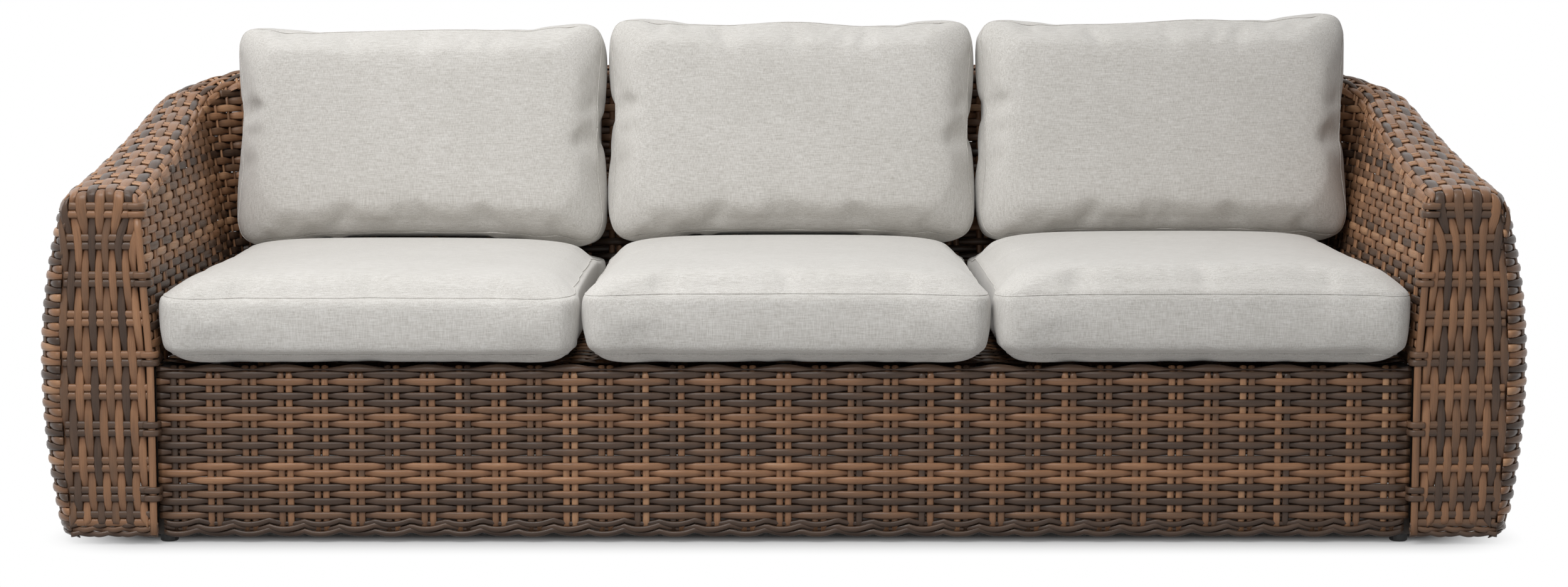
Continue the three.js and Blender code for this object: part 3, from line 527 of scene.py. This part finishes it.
def glide_material():
    material, tree, shader = new_material("glide_plastic")
    place = tree.nodes.new("ShaderNodeTexCoord").outputs["Object"]
    grain = noise_on(tree, place, (1, 1, 1), 1400, 3, 0.6)
    colour = ramp(tree, grain, [(0.35, srgb(20, 20, 21)), (0.75, srgb(36, 35, 35))])
    tree.links.new(colour, shader.inputs["Base Color"])
    gloss = ramp(tree, grain, [(0.3, (0.38,) * 3), (0.7, (0.55,) * 3)])
    tree.links.new(gloss, shader.inputs["Roughness"])
    bump = node(tree, "ShaderNodeBump", Strength=0.25, Distance=0.0002)
    tree.links.new(grain, bump.inputs["Height"])
    tree.links.new(bump.outputs[0], shader.inputs["Normal"])
    return material


rattan = rattan_material()
tube = tube_material()
glide = glide_material()

# How far the middle of the weave lies behind its wall
WEAVE_DEPTH = -(DIP + STRAND_THICK / 2) + 1.2


def dress_weave(piece, *nodes):
    piece.data.materials.append(rattan)
    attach(piece, "frame")
    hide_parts(*nodes)
    return piece


SHELL_OUTER = ("arm_side_weave_left", "arm_side_weave_right", "back_outer_weave")
SHELL_TOP = ("arm_top_weave_left", "arm_top_weave_right", "back_top_weave")
SHELL_INNER = ("arm_inner_weave_left", "arm_inner_weave_right", "back_inner_weave")
ARM_FRONTS = ("arm_front_weave_left", "arm_front_weave_right")


def parts_of(strands, count):
    """Splits strands over a number of pieces, so that none has too many triangles."""
    size = -(-len(strands) // count)
    return [strands[part * size:(part + 1) * size] for part in range(count)]


def run_where_wall_reaches(height, rounding):
    """How far along the plan line the rounded top starts above this height."""
    runs = np.linspace(0, PLAN_LENGTH / 2, 1200)
    above = runs[shell_top(runs) - rounding + 5 > height]
    return float(above[0]) if len(above) else None


def outer_wefts():
    strands = []
    for row in range(62):
        height = 40 + PITCH * row
        run = run_where_wall_reaches(height, OUTER_ROUND)
        if run is None:
            break
        start = max(float(np.interp(run, OUTER_WALKED[:900], OUTER_LENGTH[:900])), 1)
        strands.append(dict(start=start, end=OUTER_LENGTH[-1] - start, across=height,
                            tone=pick_tone(0.42), shape=woven(phase_outer, parity=row % 2)))
    for part, chosen in enumerate(parts_of(strands, 3)):
        piece = lay(f"outer_wefts_{part + 1}", chosen, outer_wall, -1, step=9, depth=WEAVE_DEPTH)
        dress_weave(piece, *SHELL_OUTER)


def outer_stakes():
    strands = []
    for walked in PAIRS:
        centre = float(np.interp(walked, OUTER_WALKED, OUTER_LENGTH))
        top = float(shell_top(run_of(walked))) - OUTER_ROUND + 4
        for offset in STAKE_OFFSETS:
            strands.append(dict(start=16, end=top, across=centre + offset, tone=pick_tone(0.2),
                                shape=straight(STAKE_WIDTH, STAKE_THICK)))
    piece = lay("outer_stakes", strands, outer_wall, 1, along="v", step=22, depth=WEAVE_DEPTH)
    dress_weave(piece, *SHELL_OUTER)


# Tones of the strands down an arm's front, from its outer edge to its inner one
TOP_TONES = (0.42, 0.18, 0.74, 0.58, 0.12, 0.66, 0.48, 0.72, 0.1, 0.68, 0.8)


def top_strands():
    strands = []
    for number in range(TOP_STRANDS):
        strand = number + 0.5
        phase, top = phase_top(strand)
        start = EDGE_BEND - BEND_LENGTH - (top - 33)
        strands.append(dict(start=start, end=PLAN_LENGTH - start, across=strand, tone=TOP_TONES[number],
                            shape=woven(phase, width=1.18, dip=2.9, thick=3.8, parity=number % 2)))
    for part, chosen in enumerate(parts_of(strands, 2)):
        piece = lay(f"top_strands_{part + 1}", chosen, top_and_front, -1, step=6, depth=WEAVE_DEPTH)
        dress_weave(piece, *SHELL_TOP, *ARM_FRONTS)


def top_crossings():
    strands = []
    for walked in PAIRS:
        for offset in STAKE_OFFSETS:
            strands.append(dict(start=-0.4, end=TOP_STRANDS + 0.4, across=walked + offset,
                                tone=dice.uniform(0.75, 1.0), shape=straight(STAKE_WIDTH, STAKE_THICK, 1.0)))
    piece = lay("top_crossings", strands, top_and_front, 1, along="v", step=0.5, depth=WEAVE_DEPTH)
    dress_weave(piece, *SHELL_TOP)


def inner_wefts():
    strands = []
    for row in range(40):
        height = SEAT_HEIGHT + INNER_PITCH * (row + 0.5)
        start = run_where_wall_reaches(height, INNER_ROUND)
        if start is None:
            break
        start = max(start, 3)
        strands.append(dict(start=start, end=PLAN_LENGTH - start, across=height, tone=pick_tone(0.42),
                            shape=woven(phase_walked, width=13.6, thick=4.2, dip=2.8, parity=row % 2)))
    for part, chosen in enumerate(parts_of(strands, 2)):
        piece = lay(f"inner_wefts_{part + 1}", chosen, inner_wall, 1, step=7, depth=WEAVE_DEPTH)
        dress_weave(piece, *SHELL_INNER)


def inner_stakes():
    strands = []
    for walked in PAIRS:
        run = run_of(walked)
        squeezed = ARM_RUN < run < ARM_RUN + ARC_RUN
        top = float(shell_top(run)) - INNER_ROUND + 4
        for offset in STAKE_OFFSETS:
            if squeezed and offset < 0:
                continue
            strands.append(dict(start=SEAT_HEIGHT, end=top, across=walked + offset,
                                tone=dice.uniform(0.5, 0.95), shape=straight(STAKE_WIDTH, STAKE_THICK, 0.9)))
    piece = lay("inner_stakes", strands, inner_wall, -1, along="v", step=22, depth=WEAVE_DEPTH)
    dress_weave(piece, *SHELL_INNER)


def front_pairs():
    """On each arm's front the crosswise pairs, the twined foot, the inner border and its wraps."""
    for side, sign in (("left", -1), ("right", 1)):
        strands, tones = [], {}
        for height in FRONT_PAIRS:
            for offset in FRONT_OFFSETS:
                tones[height, offset] = dice.choice((0.22, 0.46, 0.7))
                strands.append(dict(start=0.02, end=0.985, across=height + offset,
                                    tone=tones[height, offset], shape=straight(12.2, 5.4, 0.8)))
        for number in range(3):
            strands.append(dict(
                start=-0.01, end=1.0, across=18 + 7.2 * number, tone=0.26 + 0.1 * (number % 2),
                shape=twined(lambda share: 6 * share, 8.6, 5, 1.8, 0.8, 1.6, number % 2)))
        piece = lay(f"front_pairs_{side}", strands, front_face(sign), -sign, step=0.02, depth=WEAVE_DEPTH)
        dress_weave(piece, f"arm_front_weave_{side}")
        edges = [dict(start=16, end=503, across=-6.5, tone=pick_tone(0.1), shape=straight(13, 6))]
        border = lay(f"front_border_{side}", edges, inner_corner(sign), sign, along="v", step=20, depth=-1.5)
        dress_weave(border, f"arm_front_weave_{side}")
        wraps = []
        for number, height in enumerate(FRONT_PAIRS):
            if number % 2 == 0:
                for offset in FRONT_OFFSETS:
                    wraps.append(dict(start=-20, end=34, across=height + offset, tone=tones[height, offset],
                                      shape=wrap_shape))
        piece = lay(f"front_wraps_{side}", wraps, inner_corner(sign), -sign, step=3, depth=0)
        dress_weave(piece, f"arm_front_weave_{side}")


def wrap_shape(run):
    """A wrap lies over the border and dips into the weave at both its ends."""
    fade = np.clip((np.abs(run + 1) - 11) / 18, 0, 1)
    return 2.2 - 7 * fade ** 2, 10.2 - 2 * fade, 3.6 + 0 * run, 0 * run


APRON_HALF = 962
APRON_PAIRS = -930 + PAIR_PITCH * np.arange(35)


def phase_apron(across):
    return extended(across, APRON_PAIRS, np.arange(float(len(APRON_PAIRS))))


# Tones of the apron's rows, from the top down
APRON_TONES = (0.22, 0.1, 0.64, 0.12, 0.15, 0.1, 0.45, 0.64, 0.6, 0.12, 0.3, 0.12, 0.3, 0.15, 0.8, 0.74, 0.8,
               0.12, 0.5, 0.12, 0.15, 0.45)


def apron():
    rows = [dict(start=-APRON_HALF, end=APRON_HALF, across=271.8 - APRON_PITCH * row, tone=tone,
                 shape=woven(phase_apron, width=11.8, parity=(row + 1) % 2))
            for row, tone in enumerate(APRON_TONES)]
    dress_weave(lay("apron_wefts", rows, apron_face, 1, step=7, depth=WEAVE_DEPTH), "apron_weave")
    stakes = []
    for centre in APRON_PAIRS:
        for offset in STAKE_OFFSETS:
            stakes.append(dict(start=18, end=277, across=centre + offset, tone=pick_tone(0.12),
                               shape=straight(STAKE_WIDTH, STAKE_THICK)))
    piece = lay("apron_stakes", stakes, apron_face, -1, along="v", step=20, depth=WEAVE_DEPTH)
    dress_weave(piece, "apron_weave")
    border = [dict(start=-955, end=955, across=19 + 7.6 * number, tone=0.06 + 0.12 * (number % 2),
                   shape=twined(phase_apron, 9, 5, 1.8, 1.2, 5.5, number % 2)) for number in range(3)]
    dress_weave(lay("apron_border", border, apron_face, 1, step=6, depth=WEAVE_DEPTH + 1), "apron_weave")


def base_border():
    border = [dict(start=1, end=OUTER_LENGTH[-1] - 1, across=19 + 7.4 * number,
                   tone=0.06 + 0.12 * (number % 2), shape=twined(phase_outer, 9, 5, 1.8, 1.2, 5, number % 2))
              for number in range(3)]
    dress_weave(lay("outer_border", border, outer_wall, -1, step=7, depth=WEAVE_DEPTH), *SHELL_OUTER)


DECK_PITCH = 40


def phase_deck(across):
    return across / DECK_PITCH


def deck():
    rows = []
    for row in range(33):
        rows.append(dict(start=-APRON_HALF, end=APRON_HALF, across=-378 + DECK_PITCH / 2 * row,
                         tone=pick_tone(0.4),
                         shape=woven(phase_deck, width=21, thick=2.4, dip=2, parity=row % 2)))
    dress_weave(lay("deck_wefts", rows, deck_top, 1, step=10, depth=-4), "seat_deck_weave")
    stakes = []
    for number in range(47):
        stakes.append(dict(start=-386, end=276, across=-920 + DECK_PITCH * number, tone=pick_tone(0.3),
                           shape=straight(24, 2.2)))
    dress_weave(lay("deck_stakes", stakes, deck_top, -1, along="v", step=60, depth=-4), "seat_deck_weave")


outer_wefts()
outer_stakes()
top_strands()
top_crossings()
inner_wefts()
inner_stakes()
front_pairs()
apron()
base_border()
deck()

for name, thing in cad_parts.items():
    if name.startswith("glide"):
        thing.data.materials.clear()
        thing.data.materials.append(glide)
    elif not name.endswith(("weave", "weave_left", "weave_right", "cover", "foam")):
        thing.data.materials.clear()
        thing.data.materials.append(tube)


# Cushions, boxed, with their width along X, depth along Y and thickness along Z from the resting face

def cushion_shape(name, width, depth, corner, underside, box, crown, bulge):
    """A boxed block with round corners, crowned above and a little below, before it is filled."""
    bm = bmesh.new()
    bmesh.ops.create_cube(bm, size=2)
    bmesh.ops.subdivide_edges(bm, edges=bm.edges, cuts=27, use_grid_fill=True)
    for vert in bm.verts:
        a, b, c = vert.co
        ring = max(abs(a), abs(b), 1e-6)
        x, y = round_outline(a / ring, b / ring, width / 2, depth / 2, corner)
        level = underside + box * (c + 1) / 2
        if c > 0.999:
            level += crown * (1 - ring ** 6) ** 0.8
        elif c < -0.999:
            level -= bulge * (1 - ring ** 8) ** 0.8
        vert.co = (x * ring * 0.001, y * ring * 0.001, level * 0.001)
    mesh = bpy.data.meshes.new(name)
    bm.to_mesh(mesh)
    bm.free()
    piece = bpy.data.objects.new(name, mesh)
    bpy.context.scene.collection.objects.link(piece)
    return piece


def round_outline(a, b, half_x, half_y, corner):
    """Moves a point of a square's rim onto a rectangle's with round corners."""
    x, y = a * half_x, b * half_y
    over_x, over_y = abs(x) - (half_x - corner), abs(y) - (half_y - corner)
    if over_x > 0 and over_y > 0:
        reach = math.hypot(over_x, over_y)
        share = corner / reach
        x = math.copysign(half_x - corner + over_x * share, x)
        y = math.copysign(half_y - corner + over_y * share, y)
    return x, y


def apply_modifiers(piece):
    bpy.context.view_layer.update()
    graph = bpy.context.evaluated_depsgraph_get()
    mesh = bpy.data.meshes.new_from_object(piece.evaluated_get(graph), depsgraph=graph)
    old = piece.data
    piece.modifiers.clear()
    piece.data = mesh
    bpy.data.meshes.remove(old)


def remesh(piece, voxel):
    modifier = piece.modifiers.new("even", "REMESH")
    modifier.mode, modifier.voxel_size, modifier.use_smooth_shade = "VOXEL", voxel, True
    apply_modifiers(piece)


def filled(piece, pressure, cap):
    """Blows the cushion up as cloth, and keeps each point within the cap of where it was."""
    before = np.empty(len(piece.data.vertices) * 3)
    piece.data.vertices.foreach_get("co", before)
    cloth = piece.modifiers.new("fill", "CLOTH")
    settings = cloth.settings
    settings.quality = 4
    settings.mass = 0.35
    settings.tension_stiffness = settings.compression_stiffness = 22
    settings.shear_stiffness = 8
    settings.bending_stiffness = 0.9
    settings.use_pressure = True
    settings.uniform_pressure_force = pressure
    settings.effector_weights.gravity = 0
    cloth.collision_settings.use_collision = False
    scene = bpy.context.scene
    for step in range(1, 21):
        scene.frame_set(step)
    apply_modifiers(piece)
    scene.frame_set(1)
    ease = piece.modifiers.new("ease", "SMOOTH")
    ease.factor, ease.iterations = 0.5, 6
    apply_modifiers(piece)
    after = np.empty(len(piece.data.vertices) * 3)
    piece.data.vertices.foreach_get("co", after)
    move = (after - before).reshape(-1, 3)
    length = np.linalg.norm(move, axis=1)
    kept = np.minimum(1, cap / np.maximum(length, 1e-9))
    piece.data.vertices.foreach_set("co", (before.reshape(-1, 3) + move * kept[:, None]).ravel())
    piece.data.update()


def linen_material():
    material, tree, shader = new_material("linen_cloth")
    place = tree.nodes.new("ShaderNodeTexCoord").outputs["Object"]
    broad = noise_on(tree, place, (1, 1, 1), 9, 3, 0.5)
    slub_across = noise_on(tree, place, (60, 900, 900), 1, 3, 0.6)
    slub_along = noise_on(tree, place, (900, 900, 60), 1, 3, 0.6)
    threads = math_node(tree, "MULTIPLY", math_node(tree, "ADD", slub_across, slub_along), 0.5)
    colour = ramp(tree, threads, [
        (0.36, srgb(182, 178, 172)), (0.5, srgb(204, 201, 196)), (0.64, srgb(220, 218, 214)),
    ])
    patch = ramp(tree, broad, [(0.3, (0.95, 0.95, 0.945)), (0.7, (1, 1, 1))])
    tree.links.new(mix_colour(tree, "MULTIPLY", 1.0, colour, patch), shader.inputs["Base Color"])
    shader.inputs["Roughness"].default_value = 0.9
    shader.inputs["Sheen Weight"].default_value = 0.25
    shader.inputs["Sheen Roughness"].default_value = 0.5
    bump = node(tree, "ShaderNodeBump", Strength=0.5, Distance=0.0006)
    tree.links.new(threads, bump.inputs["Height"])
    tree.links.new(bump.outputs[0], shader.inputs["Normal"])
    return material


linen = linen_material()
# Where a seat cushion's underside and a back cushion's rear face have their middles, y and z in metres
SEAT_ORIGIN = (-0.0971, 0.2783)
BACK_ORIGIN = (0.3271, 0.5982)
SEAT = dict(width=641, depth=745, corner=42, underside=21, box=90, crown=26, bulge=2)
BACK = dict(width=641, depth=384, corner=34, underside=24, box=98, crown=24, bulge=4)
BACK_THICK = 169
VOXEL, QUICK_VOXEL = 0.008, 0.012
FILL_PRESSURE, MOST_MOVED = 4, 0.022


def seat_place(x):
    return Matrix.Translation((x, *SEAT_ORIGIN))


def back_place(x):
    up = Vector((0, math.sin(BACK_LEAN), math.cos(BACK_LEAN)))
    forward = Vector((0, -math.cos(BACK_LEAN), math.sin(BACK_LEAN)))
    turn = Matrix((Vector((1, 0, 0)), up, forward)).transposed().to_4x4()
    return Matrix.Translation((x, *BACK_ORIGIN)) @ turn


# Half the sizes that the settled forms are written for, in millimetres
HALF_WIDTH, HALF_SEAT, HALF_BACK = 318, 372, 192


def points_of(mesh):
    """A mesh's points as rows of millimetres."""
    flat = np.empty(len(mesh.vertices) * 3)
    mesh.vertices.foreach_get("co", flat)
    return flat.reshape(-1, 3) * 1000


def move_points(mesh, points):
    mesh.vertices.foreach_set("co", (points * 0.001).ravel())
    mesh.update()


def fit(piece, width, depth, thick):
    """Brings the filled cushion back to the size it was cut for, resting face at nought."""
    points = points_of(piece.data)
    low, high = points.min(axis=0), points.max(axis=0)
    size = np.array([width, depth, thick])
    points = (points - (low + high) / 2) / (high - low) * size
    points[:, 2] += thick / 2
    move_points(piece.data, points)


def sag_seat(piece, lean, drop, press):
    """Settles a seat cushion: square at its foot, domed above, its front full between the seams and sunk
    by drop, and pressed in at the rear where the back cushion stands on it."""
    points = points_of(piece.data)
    a, b = points[:, 0] / HALF_WIDTH, points[:, 1] / HALF_SEAT
    low = np.clip(points[:, 2], 0, 40)
    points[:, 2] += 40 * (low / 40) ** 1.5 - low
    front, above = np.clip(-b, 0, 1), np.clip((points[:, 2] - 105) / 46, 0, 1)
    risen = np.clip(points[:, 2] / 110, 0, 1)
    sunk = 3 * front ** 2 * a ** 4 + 2 * lean * a * (1 - b * b) + drop * front ** 3 * (1 - a ** 8)
    points[:, 2] -= risen * sunk
    points[:, 2] -= above * (9 * a ** 4 + 3 * a * a)
    under = np.clip((b - 0.6) / 0.2, 0, 1)
    points[:, 2] -= press * under * under * (3 - 2 * under) * np.clip((points[:, 2] - 90) / 30, 0, 1)
    points[:, 1] -= 5 * front ** 6 * np.sin(risen * math.pi)
    points[:, 0] *= 1 + 0.007 * b * b + 0.012 * (risen - 0.75)
    side_wave = 1.6 * np.sin(2.6 * b + lean) * a * (1 - np.abs(b))
    points[:, 0] -= side_wave * np.sin(points[:, 2] / 158 * math.pi)
    move_points(piece.data, points)


def sag_back(piece, height_share, tilt, hump, foot):
    """Waves a back cushion's top, with a hump at a place and of a height and width, and settles its foot,
    which is arched and lowered."""
    points = points_of(piece.data)
    a, b = points[:, 0] / HALF_WIDTH, points[:, 1] / HALF_BACK
    upper, lower = np.clip(b, 0, 1) ** 2, np.clip(-b, 0, 1) ** 2
    between = 1 - a * a
    waves = 1.6 * np.sin(5.2 * a + 2 * tilt) + 1.0 * np.sin(9.1 * a - tilt)
    risen = hump[1] * np.exp(-((a - hump[0]) / hump[2]) ** 2)
    points[:, 0] *= 1 + 0.01 * (1 - b * b) - 0.003 * np.clip(b, 0, 1)
    points[:, 1] += upper * (waves - 5.5 * between + 3 * tilt * a + risen)
    points[:, 1] += lower * (foot[0] * between - foot[1])
    points[:, 1] = -HALF_BACK + (points[:, 1] + HALF_BACK) * height_share
    move_points(piece.data, points)


# Points along a seam, how deep it draws the cloth in and how far that reaches
SEAM_STEPS, SEAM_SINK, SEAM_REACH = 280, 0.8, 4.2
SEAM_CORNER = 42


def sink_seams(piece, levels):
    """Draws the cloth in along each seam, which runs round the cushion at one thickness."""
    mesh = piece.data
    points = points_of(mesh)
    normals = np.empty(len(mesh.vertices) * 3)
    mesh.vertices.foreach_get("normal", normals)
    for level in levels:
        away = (points[:, 2] - level) / SEAM_REACH
        points -= normals.reshape(-1, 3) * (SEAM_SINK * np.exp(-away ** 2))[:, None]
    move_points(mesh, points)


def seam_line(piece, level, width, depth):
    """Where a seam lies on the filled cushion: rays from outside towards its middle line."""
    graph = bpy.context.evaluated_depsgraph_get()
    tree = BVHTree.FromObject(piece, graph)
    line = []
    for step in range(SEAM_STEPS):
        turn = 2 * math.pi * step / SEAM_STEPS
        a, b = math.cos(turn), math.sin(turn)
        ring = max(abs(a), abs(b))
        x, y = round_outline(a / ring, b / ring, width / 2, depth / 2, SEAM_CORNER)
        origin = Vector((x * 1.2, y * 1.2, level)) * 0.001
        inward = Vector((-x, -y, 0)).normalized()
        hit = tree.ray_cast(origin, inward)[0]
        line.append(np.array(hit) * 1000)
    return np.array(line)


def seam_cord(name, line):
    """A thin stitched edge laid along the seam."""
    closed = np.vstack([line, line[:1]])
    far = np.concatenate([[0], np.cumsum(np.linalg.norm(np.diff(closed, axis=0), axis=1))])

    def place(run, across):
        spot = np.mod(run, far[-1])
        flat = [np.interp(spot, far, closed[:, axis]) for axis in range(3)]
        return np.stack([flat[0], flat[1], flat[2] + across], axis=-1)

    strand = dict(start=0, end=far[-1], across=0.0, tone=0.5, shape=straight(2.0, 1.4))
    return lay(name, [strand], place, 1, step=6, depth=-0.3)


def finish_cushion(piece, body, place):
    """Moves a finished piece of a cushion to its place and lets it ride on the cushion's body."""
    piece.data.transform(place)
    piece.data.polygons.foreach_set("use_smooth", np.ones(len(piece.data.polygons), bool))
    piece.data.materials.clear()
    piece.data.materials.append(linen)
    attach(piece, body)


def cushion(kind, side, shape, width, thick, sag, place):
    name = f"{kind}_cushion_{side}"
    piece = cushion_shape(name, **shape)
    remesh(piece, VOXEL)
    filled(piece, FILL_PRESSURE, MOST_MOVED)
    fit(piece, width, shape["depth"], thick)
    smooth = piece.modifiers.new("fine", "SUBSURF")
    smooth.levels = smooth.render_levels = 1
    apply_modifiers(piece)
    seams = (shape["underside"] + 1, shape["underside"] + shape["box"] - 1)
    lines = [seam_line(piece, level, width, shape["depth"]) for level in seams]
    sink_seams(piece, seams)
    sag(piece)
    for label, line in zip(("lower", "upper"), lines):
        cord = seam_cord(f"{name}_seam_{label}", line)
        sag(cord)
        finish_cushion(cord, name, place)
    finish_cushion(piece, name, place)
    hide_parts(f"{name}_cover", f"{name}_foam")


# How the cushions lie in the photograph: each one's place and width along X, the seats' thickness, and
# the forms that they have settled into
SEATS = {
    "left": (-0.635, 644, 146, dict(lean=0.6, drop=8, press=15)),
    "middle": (0.0037, 627, 151, dict(lean=-0.4, drop=0, press=12.5)),
    "right": (0.6395, 638.5, 158, dict(lean=-0.8, drop=0, press=17)),
}
BACKS = {
    "left": (-0.6325, 643, dict(height_share=0.952, tilt=0.9, hump=(0.1, 11, 0.7), foot=(6.5, 25))),
    "middle": (0.0125, 638.5, dict(height_share=0.985, tilt=-0.8, hump=(0, 15, 0.35), foot=(0, 14))),
    "right": (0.658, 644, dict(height_share=1.0, tilt=1.7, hump=(0.15, 13, 0.3), foot=(0, 12))),
}

for side in SEATS:
    x, width, thick, form = SEATS[side]
    cushion("seat", side, SEAT, width, thick, partial(sag_seat, **form), seat_place(x))
    x, width, form = BACKS[side]
    cushion("back", side, BACK, width, BACK_THICK, partial(sag_back, **form), back_place(x))


# Floor, light and camera

def seen_rays(tree):
    """One for rays from the camera and for those that reach here by mirroring or through glass."""
    paths = tree.nodes.new("ShaderNodeLightPath").outputs
    mirrored = math_node(tree, "MAXIMUM", paths["Is Glossy Ray"], paths["Is Transmission Ray"])
    return math_node(tree, "MAXIMUM", paths["Is Camera Ray"], mirrored)


def floor():
    bm = bmesh.new()
    bmesh.ops.create_grid(bm, x_segments=2, y_segments=2, size=9)
    mesh = bpy.data.meshes.new("floor")
    bm.to_mesh(mesh)
    bm.free()
    piece = bpy.data.objects.new("floor", mesh)
    bpy.context.scene.collection.objects.link(piece)
    material, tree, shader = new_material("floor")
    # Painted shadow: near the sofa's footprint the floor is this grey. For camera and mirrored rays it fades
    # to glowing white from 0 to 0.18 m beyond the footprint, so a shadow band is painted round the base. The
    # footprint lies inside the sofa's outline, so the glow also lightens the shade just under its edges.
    shader.inputs["Base Color"].default_value = (0.5, 0.5, 0.5, 1)
    shader.inputs["Roughness"].default_value = 0.9
    shader.inputs["Specular IOR Level"].default_value = 0.1
    place = tree.nodes.new("ShaderNodeTexCoord").outputs["Object"]
    split = tree.nodes.new("ShaderNodeSeparateXYZ")
    tree.links.new(place, split.inputs[0])
    aside = math_node(tree, "SUBTRACT", math_node(tree, "ABSOLUTE", split.outputs[0], 0), 0.98)
    ahead = math_node(tree, "SUBTRACT", math_node(tree, "ABSOLUTE", split.outputs[1], 0), 0.37)
    aside = math_node(tree, "POWER", math_node(tree, "MAXIMUM", aside, 0), 2)
    ahead = math_node(tree, "POWER", math_node(tree, "MAXIMUM", ahead, 0), 2)
    away = math_node(tree, "SQRT", math_node(tree, "ADD", aside, ahead), 0)
    far = tree.nodes.new("ShaderNodeMapRange")
    far.interpolation_type = "SMOOTHSTEP"
    far.inputs["From Min"].default_value, far.inputs["From Max"].default_value = 0.0, 0.18
    tree.links.new(away, far.inputs["Value"])
    camera_ray = seen_rays(tree)
    white = node(tree, "ShaderNodeEmission", Color=(1, 1, 1, 1), Strength=1.0)
    painted_shadow_blend = tree.nodes.new("ShaderNodeMixShader")
    tree.links.new(math_node(tree, "MULTIPLY", far.outputs[0], camera_ray), painted_shadow_blend.inputs[0])
    tree.links.new(shader.outputs[0], painted_shadow_blend.inputs[1])
    tree.links.new(white.outputs[0], painted_shadow_blend.inputs[2])
    tree.links.new(painted_shadow_blend.outputs[0], tree.nodes["Material Output"].inputs["Surface"])
    mesh.materials.append(material)


def area_light(name, place, target, size, power):
    data = bpy.data.lights.new(name, "AREA")
    data.shape, data.size, data.size_y, data.energy = "RECTANGLE", size[0], size[1], power
    lamp = bpy.data.objects.new(name, data)
    bpy.context.scene.collection.objects.link(lamp)
    lamp.location = place
    lamp.rotation_euler = (Vector(target) - Vector(place)).to_track_quat("-Z", "Y").to_euler()


def world_light():
    """White to the camera. As light it is strongest from above and behind, and weak from the front."""
    world = bpy.data.worlds.new("studio")
    bpy.context.scene.world = world
    world.use_nodes = True
    tree = world.node_tree
    background = tree.nodes["Background"]
    facing = tree.nodes.new("ShaderNodeVectorMath")
    facing.operation = "DOT_PRODUCT"
    facing.inputs[1].default_value = (-0.25, 0.35, 0.9)
    tree.links.new(tree.nodes.new("ShaderNodeTexCoord").outputs["Generated"], facing.inputs[0])
    glow = tree.nodes.new("ShaderNodeMapRange")
    glow.inputs["From Min"].default_value, glow.inputs["From Max"].default_value = -0.3, 1.0
    glow.inputs["To Min"].default_value, glow.inputs["To Max"].default_value = 0.03, 0.78
    tree.links.new(facing.outputs["Value"], glow.inputs["Value"])
    strength = tree.nodes.new("ShaderNodeMapRange")
    strength.inputs["To Max"].default_value = 1.0
    tree.links.new(seen_rays(tree), strength.inputs["Value"])
    tree.links.new(glow.outputs[0], strength.inputs["To Min"])
    background.inputs["Color"].default_value = (1, 1, 1, 1)
    tree.links.new(strength.outputs[0], background.inputs["Strength"])


floor()
world_light()
area_light("overhead", (-0.8, -0.8, 2.6), (-0.1, -0.1, 0.3), (3.0, 1.1), 22)
area_light("front", (-1.3, -2.6, 3.0), (0, 0, 0.5), (2.6, 1.4), 80)

camera_data = bpy.data.cameras.new("camera")
camera_data.lens, camera_data.sensor_width = 66.816, 36
camera = bpy.data.objects.new("camera", camera_data)
bpy.context.scene.collection.objects.link(camera)
camera.location = (0, -4.858, 0.851)
camera.rotation_euler = (math.radians(84), 0, 0)
bpy.context.scene.camera = camera
bpy.context.scene.view_settings.view_transform = "Standard"
